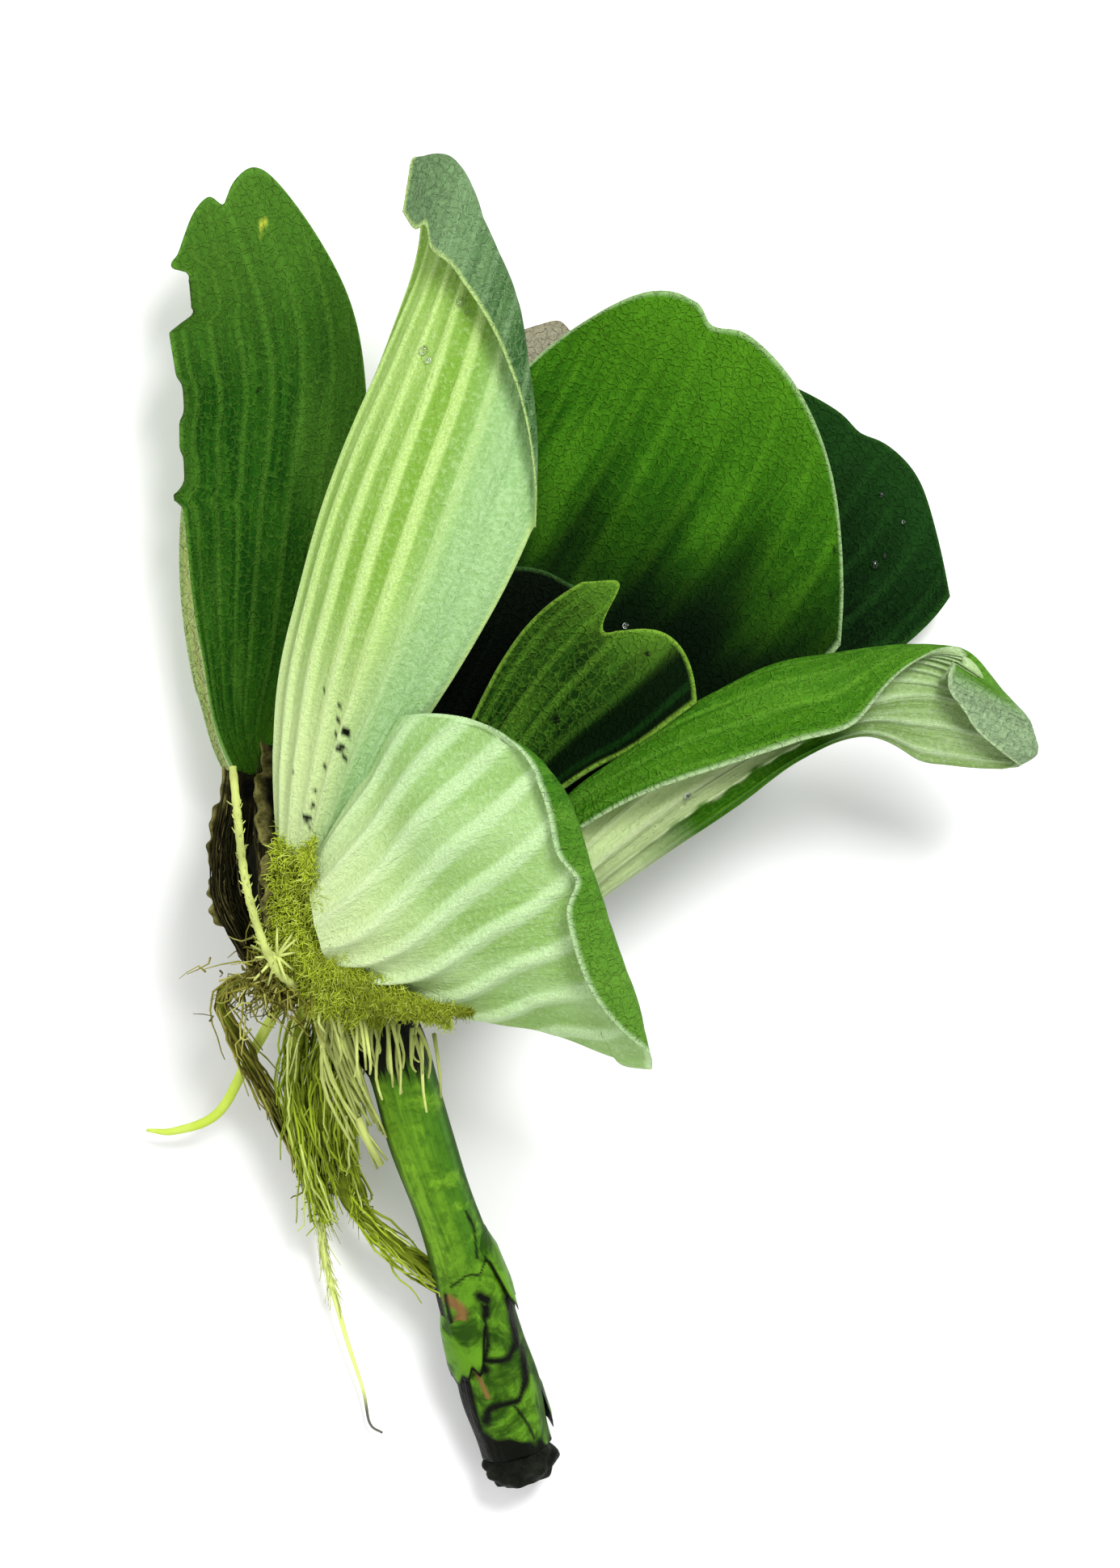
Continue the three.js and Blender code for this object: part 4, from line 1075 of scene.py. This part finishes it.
class LETTUCE_OT_stolon(bpy.types.Operator):
    """The cut runner, its rotten end and the loose skins around it"""

    bl_idname = "lettuce.stolon"
    bl_label = "Runner"

    def execute(self, context):
        look = context.scene.lettuce_colours
        route = stretched(STOLON, STOLON_LENGTH)
        piece = swept("stolon_stem", route, stolon_radius, 96, 260)
        mark_stolon(piece.data)
        settle(piece, stolon_finish(look), "stolon", "stolon")
        rot = plain_finish("rot", tuple(look.rot_and_shade_colour), darker(look.rot_and_shade_colour, 3), 700.0, 0.5, 0.0006)
        tip = even(route, np.array([0.97, 1.0]))
        heading = unit(tip[1] - tip[0])
        end = np.linspace(0, STOLON_END_LENGTH - 0.3, 5)[:, None] * heading + tip[1] - heading * 0.6
        settle(swept("stolon_rotten_end", end, rotten_end_radius, 64, 50), rot, "rot", "stolon_end")
        for name, start, stop, middle, spread in SKINS:
            flap = make_skin("old_skin_" + name, route, start, stop, middle, spread)
            settle(flap, skin_finish(look, name), "dead_skin", "stolon_skin_" + name)
        return {"FINISHED"}


def skin_finish(look, name):
    """A thin wet skin: clear green in the middle, dark where it is torn."""
    f = Finish("old_skin_" + name, 0.35)
    clear = f.noise(f.place, 230.0, 4.0, 0.6, 0.8)
    green = f.mix(f.between(clear, 0.36, 0.6), darker(look.stolon_colour, 0.35), tuple(look.window_colour))
    colour = f.mix(f.between(f.value("edge"), 0.3, 0.8), green, tuple(look.rot_and_shade_colour))
    return f.done(colour, f.bump(clear, 0.0004))


def make_skin(name, route, start, stop, middle, spread):
    """A loose torn skin around part of the runner that stands off at its lower edge."""
    piece = plate(name, 70, 36)
    local = coordinates(piece.data)
    x, y = local[:, 0], (local[:, 1] + 1) / 2
    ragged = (0.10 * np.sin(x * 5 + middle) + 0.05 * np.sin(x * 17)) * y
    narrow = 1 - 0.35 * y * np.abs(x)
    share = start + (stop - start) * (y + ragged)
    angle = np.radians(middle + spread * x * narrow / 2)
    points, side, top = frames_along(route, np.clip(share, 0, 1))
    edge = np.clip((1 - np.abs(x)) * 6, 0.05, 1) * np.clip((1 - y) * 6, 0.05, 1)
    outer = local[:, 2] > -0.5
    swell = stale_swell(share) + 0.45 * np.clip(y * 3, 0, 1) - 0.15
    radius = STOLON_DIAMETER / 2 + swell + 0.3 * y**2 + np.where(outer, 0.2 * edge, 0)
    radius = radius + 0.08 * np.sin(5 * angle + 2) * y
    reshape(piece.data, points + radius[:, None] * around(side, top, angle))
    mark(piece.data, "edge", np.maximum(1 - edge, ~outer) * np.clip(y * 4 - 0.4, 0, 1))
    return piece


def trough_points(share, turn, thickness):
    """Points on the old sheath's trough, which opens to the left and up."""
    points = spline(SHEATH, share)
    heading = heading_along(spline, SHEATH, share)
    opening = unit(SHEATH_OPENING - heading * (heading @ SHEATH_OPENING)[..., None])
    across = np.cross(heading, opening)
    crease = 0.25 * np.sin(turn * 9 + 3 * share)
    radius = (ramp(SHEATH_WIDTHS, share) + crease + thickness)[..., None]
    return points + radius * (across * np.sin(turn)[..., None] - opening * np.cos(turn)[..., None])


class LETTUCE_OT_sheath(bpy.types.Operator):
    """What is left of an old leaf's foot: a dark torn trough with papery edges and loose fibres"""

    bl_idname = "lettuce.sheath"
    bl_label = "Dead sheath"

    def execute(self, context):
        look = context.scene.lettuce_colours
        piece = plate("dead_sheath", 80, 90)
        local = coordinates(piece.data)
        share = (local[:, 1] + 1) / 2
        ragged = 1 + 0.04 * np.sin(share * 40) + 0.05 * np.sin(share * 17 + 1) + 0.03 * np.sin(share * 83)
        turn = np.radians(100 * local[:, 0] * ragged)
        reshape(piece.data, trough_points(share, turn, np.where(local[:, 2] > -0.5, 0, 0.35)))
        mark(piece.data, "edge", np.clip(np.abs(local[:, 0]) * 5 - 4, 0, 1))
        f = Finish("dead_sheath", 0.85)
        fine = f.noise(f.place, 700.0, 5.0, 0.7)
        dark = f.tones(fine, (0.003, 0.003, 0.002), (0.02, 0.018, 0.006))
        paper = f.tones(fine, (0.05, 0.048, 0.010), (0.24, 0.22, 0.07))
        colour = f.mix(f.value("edge"), dark, paper)
        settle(piece, f.done(colour, f.bump(fine, 0.0006)), "dead_skin", "sheath")
        rng = np.random.default_rng(19)
        fibres = hair_finish("sheath_fibres", (0.005, 0.005, 0.002), (0.035, 0.032, 0.008),
                             darker(look.paper_colour, 0.7))
        for name, count, low, high, lift, radius in SHEATH_FIBRES:
            start = rng.uniform(-0.05, 0.6, count)[:, None]
            share = np.clip(start + rng.uniform(0.2, 0.55, count)[:, None] * np.linspace(0, 1, 7), 0, 1)
            turn = np.radians(rng.uniform(low, high, count))[:, None] + rng.normal(size=share.shape) * 0.035
            routes = trough_points(share, turn, -rng.uniform(0.1, lift, count)[:, None] + 0 * share)
            settle(strands(name, routes, radius, 0.5), fibres, "dead_skin")
        return {"FINISHED"}


def rootlets(route, count, length, spread, rng, start=0.0, stop=1.0, bends=4):
    """Fine side roots that leave a root all the way along and sweep towards its tip."""
    shares = rng.uniform(start, stop, count)
    points = even(route, shares)
    heading = heading_along(even, route, shares, 0.02)
    outward = rng.normal(size=points.shape)
    outward = unit(outward - heading * np.sum(outward * heading, -1, keepdims=True))
    reach = length * rng.uniform(0.45, 1.15, count)[:, None]
    lean = spread * rng.uniform(0.5, 1.3, count)[:, None]
    drift = rng.normal(size=points.shape) * 0.12
    routes = []
    for step in np.linspace(0, 1, bends):
        away = lean * (step - 0.45 * step**2)
        routes.append(points + reach * (heading * step * (1 - 0.3 * lean) + outward * away + drift * step**2))
    return np.stack(routes, axis=1)


def beside(route, count, width, reach, rng, bends=10):
    """Long strands that run beside a root, cling to it and wander slowly around it."""
    steps = np.linspace(0, 1, bends)
    start = rng.uniform(-0.05, 0.85, count)[:, None]
    share = np.clip(start + reach * rng.uniform(0.6, 1.3, count)[:, None] * steps, 0, 1)
    points, side, top = (item.reshape(count, bends, 3) for item in frames_along(route, share.ravel()))
    turn = rng.uniform(0, 2 * math.pi, count)[:, None] + rng.uniform(-1.4, 1.4, count)[:, None] * steps
    pitch, phase = rng.uniform(2, 5, count)[:, None], rng.uniform(0, 6, count)[:, None]
    away = width * rng.uniform(0.35, 1, count)[:, None] * (0.8 + 0.3 * np.sin(pitch * steps + phase))
    away = away * (0.5 + 0.5 * np.minimum(steps * 4, 1))
    loose = rng.normal(size=(count, 1, 3)) * 0.8 * steps[:, None] ** 2
    loose = loose + rng.normal(size=(count, bends, 3)) * 0.1
    return points + away[..., None] * around(side, top, turn) + loose


def bundle_route(column, row, end):
    """One root of the bundle: they leave the crown side by side and draw together."""
    share = np.linspace(0, end, 6)
    spacing = ROOT_SPACING * (1 - (1 - ROOT_TIP_SHARE) * share)
    route = spline(BUNDLE, share)
    route[:, 0] += (column - (BUNDLE_COLUMNS - 1) / 2) * spacing
    route[:, 2] += (row - (BUNDLE_ROWS - 1) / 2) * spacing
    return route


def tapered(first, last):
    """A radius that goes evenly from first to last."""
    return lambda share, angle: first + (last - first) * share


def pointed(share, angle):
    """The radius of the young shoot, which draws in at its tip."""
    return 0.6 - 0.15 * share - 0.3 * share**12


def beaded(share, angle):
    """The radius of the pale root, with small swellings all along it."""
    return 0.4 + 0.05 * np.sin(110 * share + 2 * np.sin(angle)) * np.sin(17 * share)


def drawn_root_finish(look):
    """A smooth pale root that turns grey at its dying tip."""
    f = Finish("long_root", 0.6)
    along = f.value("along")
    fine = f.noise(f.place, 500.0, 4.0)
    pale = f.tones(fine, tuple(look.root_light), tuple(look.pale_root))
    grey = f.mix(f.between(along, 0.8, 0.9), pale, (0.11, 0.115, 0.09))
    return f.done(grey, f.bump(fine, 0.0002))


def fringe_tuft(start, rng):
    """Short pale roots that hang in a tuft under the crown."""
    routes = []
    for _ in range(FRINGE_TUFT_ROOTS):
        foot = start + rng.normal(size=3) * (0.8, 0.5, 0.5)
        reach = rng.uniform(3.5, 8.0)
        bow = rng.normal(size=3) * 0.85
        line = [foot, foot + (0.2, -reach / 3, 0.5) + bow * 0.6, foot + (0.4, -reach * 0.7, 0.2) + bow,
                foot + (0.6, -reach, -0.9) + bow * 0.5]
        routes.append(spline(line, np.linspace(0, 1, 7)))
    return routes


def comb_roots(rng):
    """Longer pale roots that run down side by side to the left of the runner."""
    routes = []
    for _ in range(COMB_ROOTS):
        foot = COMB_FOOT + rng.normal(size=3) * (1.2, 0.7, 0.6)
        tip = COMB_TIP + rng.normal(size=3) * (0.9, 1.8, 0.5)
        middle = (foot + tip) / 2 + (rng.normal() * 0.9 - 0.5, 0, 1.2)
        routes.append(spline([foot, middle, tip], np.linspace(0, 1, 9)))
    return routes


def tangled_fibres(rng):
    """Short brown fibres that curl about low on the crown."""
    foot = TANGLE_CENTRE + rng.normal(size=(TANGLE_FIBRES, 3)) * (2.6, 1.8, 1.6)
    drop = rng.normal(size=foot.shape) * (1.7, 1.2, 0.8) + (-0.3, -1.6, 0)
    bow = rng.normal(size=foot.shape) * 0.7
    return np.stack([foot, foot + drop * 0.3 + bow, foot + drop * 0.7 + bow * 0.6, foot + drop], axis=1)


def star_arms(rng):
    """Pale strands that spread like a star from one point on the crown."""
    routes = []
    for arm in range(STAR_ARMS):
        angle = 2 * math.pi * arm / STAR_ARMS + rng.uniform(-0.25, 0.25)
        reach = rng.uniform(2.0, 3.4)
        tip = STAR_CENTRE + (reach * math.cos(angle), reach * math.sin(angle), rng.uniform(-1.0, 0.2))
        lift = (STAR_CENTRE + tip) / 2 + (0, 0, 0.5)
        routes.append(spline([STAR_CENTRE, lift, tip], np.linspace(0, 1, 6)))
    return routes


class LETTUCE_OT_roots(bpy.types.Operator):
    """The feathery bundle of roots, the odd roots around it and the young shoot"""

    bl_idname = "lettuce.roots"
    bl_label = "Roots"

    def execute(self, context):
        look = context.scene.lettuce_colours
        rng = np.random.default_rng(3)
        green, pale_green = tuple(look.root_colour), tuple(look.pale_root)
        core = plain_finish("root_core", darker(green, 0.25), darker(green, 0.7), 500.0)
        light = tuple(look.root_light)
        feather = hair_finish("root_feather", darker(green, 0.45), darker(green, 1.15), light)
        brown = hair_finish("brown_feather", (0.045, 0.04, 0.008), (0.28, 0.27, 0.04), (0.55, 0.55, 0.16))
        pale = hair_finish("pale_root", darker(pale_green, 0.55), darker(pale_green, 0.9), pale_green)
        self.bundle(context.scene.lettuce_sizes.rootlet_length / MM, core, feather, rng)
        for name, route, first, last, count, width, reach, finish in [
            ("brown_root", BROWN_ROOT, 0.4, 0.3, 70, 1.15, 0.5, brown),
            ("link_root", LINK_ROOT, 1.0, 0.6, 70, 1.7, 0.7, feather),
        ]:
            settle(swept(name + "_core", route, tapered(first, last), 14, 70), core, "root", name)
            wrapping = beside(route, count, width, reach, rng)
            settle(strands(name + "_strands", wrapping, 0.16, 0.4), finish, "root")
            settle(strands(name + "_feather", rootlets(route, 130, 2.2, 0.4, rng), 0.06), finish, "root")
        drawn = drawn_root_finish(look)
        settle(swept("long_root_core", LONG_ROOT, tapered(0.45, 0.12), 14, 90), drawn, "root", "long_root")
        wisps = rootlets(LONG_ROOT, 170, 3.6, 0.3, rng, 0.0, 0.42)
        settle(strands("long_root_wisps", wisps, 0.07), pale, "root")
        settle(swept("pale_root_core", PALE_ROOT, beaded, 16, 160), pale, "pale_root", "pale_root")
        bristles = rootlets(PALE_ROOT, 260, 1.0, 1.2, rng, 0.15, 0.85, 3)
        settle(strands("pale_root_bristles", bristles, 0.1), pale, "pale_root")
        # Painted shade: a near-black rod fills the shade between the root bundle, the crown and the runner.
        shade_finish = plain_finish("painted_shade_under_crown", (0.002, 0.002, 0.001), (0.012, 0.012, 0.004), 700.0, 0.9)
        settle(swept("painted_shade_under_crown", CROWN_SHADE_ROUTE, tapered(3.1, 1.6), 24, 20), shade_finish, "root")
        for index in range(FRINGE_TUFTS):
            tuft = fringe_tuft(FRINGE_START + index * FRINGE_STEP, rng)
            piece = strands(f"fringe_{index + 1}", tuft, 0.22, 0.5)
            settle(piece, pale, "pale_root", f"fringe_root_{index + 1}")
        settle(strands("comb_roots", comb_roots(rng), 0.26, 0.5), pale, "pale_root")
        settle(strands("pale_rod", [PALE_ROD], 0.42, 0.8), pale, "pale_root")
        settle(strands("crown_tangle", tangled_fibres(rng), 0.11), brown, "root")
        settle(strands("root_star_strands", star_arms(rng), 0.2, 0.5), pale, "pale_root", "root_star")
        shoot = plain_finish("shoot", tuple(look.shoot_colour), (0.66, 0.78, 0.2), 120.0, 0.5, 0.0001)
        stem = swept("young_shoot_stem", SHOOT, pointed, 20, 60)
        settle(stem, shoot, "shoot", "young_shoot")
        return {"FINISHED"}

    def bundle(self, length, core, feather, rng):
        """Each root of the bundle: a core, strands that cling to it and fine side roots."""
        for order, end in enumerate(BUNDLE_ENDS):
            route = bundle_route(*divmod(order, BUNDLE_ROWS), end)
            name = f"root_{order + 1}"
            settle(swept(name + "_core", route, tapered(0.8, 0.35), 12, 40), core, "root", name)
            settle(strands(name + "_strands", beside(route, 75, 1.7, 0.5, rng), 0.15, 0.4), feather, "root")
            settle(strands(name + "_feather", rootlets(route, 260, length, 0.4, rng), 0.06), feather, "root")


# The studio lamps, in metres: where each is, how wide it is and its power. They face the middle of the table.
LAMPS = [("key", (0.16, 0.26, 0.56), 0.2, 3.6), ("fill", (-0.45, -0.2, 0.5), 0.5, 0.9)]
# The camera's place in the plant's own layout, and its lens and sensor, all in mm.
CAMERA_PLACE = (-3.36, 2.8, 602)
CAMERA_LENS = 135
CAMERA_SENSOR = 36
# How far the table reaches each way from its middle, in metres.
TABLE_REACH = 2
TABLE_GREY = 0.92
SKY_STRENGTH = 0.8


class LETTUCE_OT_stage(bpy.types.Operator):
    """The pale table, soft lights and a camera that looks straight down"""

    bl_idname = "lettuce.stage"
    bl_label = "Stage"

    def execute(self, context):
        scene = context.scene
        scene.view_settings.view_transform = "Standard"
        bm = bmesh.new()
        bmesh.ops.create_grid(bm, x_segments=1, y_segments=1, size=TABLE_REACH)
        floor = finish_mesh("table", bm)
        finish = Finish("table", 0.8)
        finish.shader.inputs["Base Color"].default_value = (TABLE_GREY, TABLE_GREY, TABLE_GREY, 1)
        floor.data.materials.append(finish.material)
        world = bpy.data.worlds.new("studio")
        world.use_nodes = True
        world.node_tree.nodes["Background"].inputs["Color"].default_value = (1, 1, 1, 1)
        world.node_tree.nodes["Background"].inputs["Strength"].default_value = SKY_STRENGTH
        scene.world = world
        for name, place, size, power in LAMPS:
            data = bpy.data.lights.new(name, "AREA")
            data.size = size
            data.energy = power
            lamp = bpy.data.objects.new(name, data)
            lamp.location = place
            lamp.rotation_euler = (-Vector(place)).to_track_quat("-Z", "Y").to_euler()
            scene.collection.objects.link(lamp)
        data = bpy.data.cameras.new("camera")
        data.lens = CAMERA_LENS
        data.sensor_width = CAMERA_SENSOR
        camera = bpy.data.objects.new("camera", data)
        camera.location = in_frame(CAMERA_PLACE)
        scene.collection.objects.link(camera)
        scene.camera = camera
        return {"FINISHED"}


class LETTUCE_PT_panel(bpy.types.Panel):
    """Lists the plant's sizes, colours and building steps"""

    bl_idname = "LETTUCE_PT_panel"
    bl_label = "Water lettuce"
    bl_space_type = "VIEW_3D"
    bl_region_type = "UI"
    bl_category = "Water lettuce"

    def draw(self, context):
        for group in (context.scene.lettuce_sizes, context.scene.lettuce_colours):
            for name in group.__annotations__:
                self.layout.prop(group, name)
        for step in STEPS:
            self.layout.operator(step.bl_idname)


STEPS = (
    LETTUCE_OT_stage,
    LETTUCE_OT_leaves,
    LETTUCE_OT_crown,
    LETTUCE_OT_stolon,
    LETTUCE_OT_sheath,
    LETTUCE_OT_roots,
)
CLASSES = (LettuceSizes, LettuceColours, *STEPS, LETTUCE_PT_panel)


def register():
    for item in CLASSES:
        bpy.utils.register_class(item)
    bpy.types.Scene.lettuce_sizes = bpy.props.PointerProperty(type=LettuceSizes)
    bpy.types.Scene.lettuce_colours = bpy.props.PointerProperty(type=LettuceColours)


def unregister():
    del bpy.types.Scene.lettuce_colours
    del bpy.types.Scene.lettuce_sizes
    for item in reversed(CLASSES):
        bpy.utils.unregister_class(item)


def main():
    register()
    for step in STEPS:
        group, name = step.bl_idname.split(".")
        getattr(getattr(bpy.ops, group), name)()


if __name__ == "__main__":
    main()
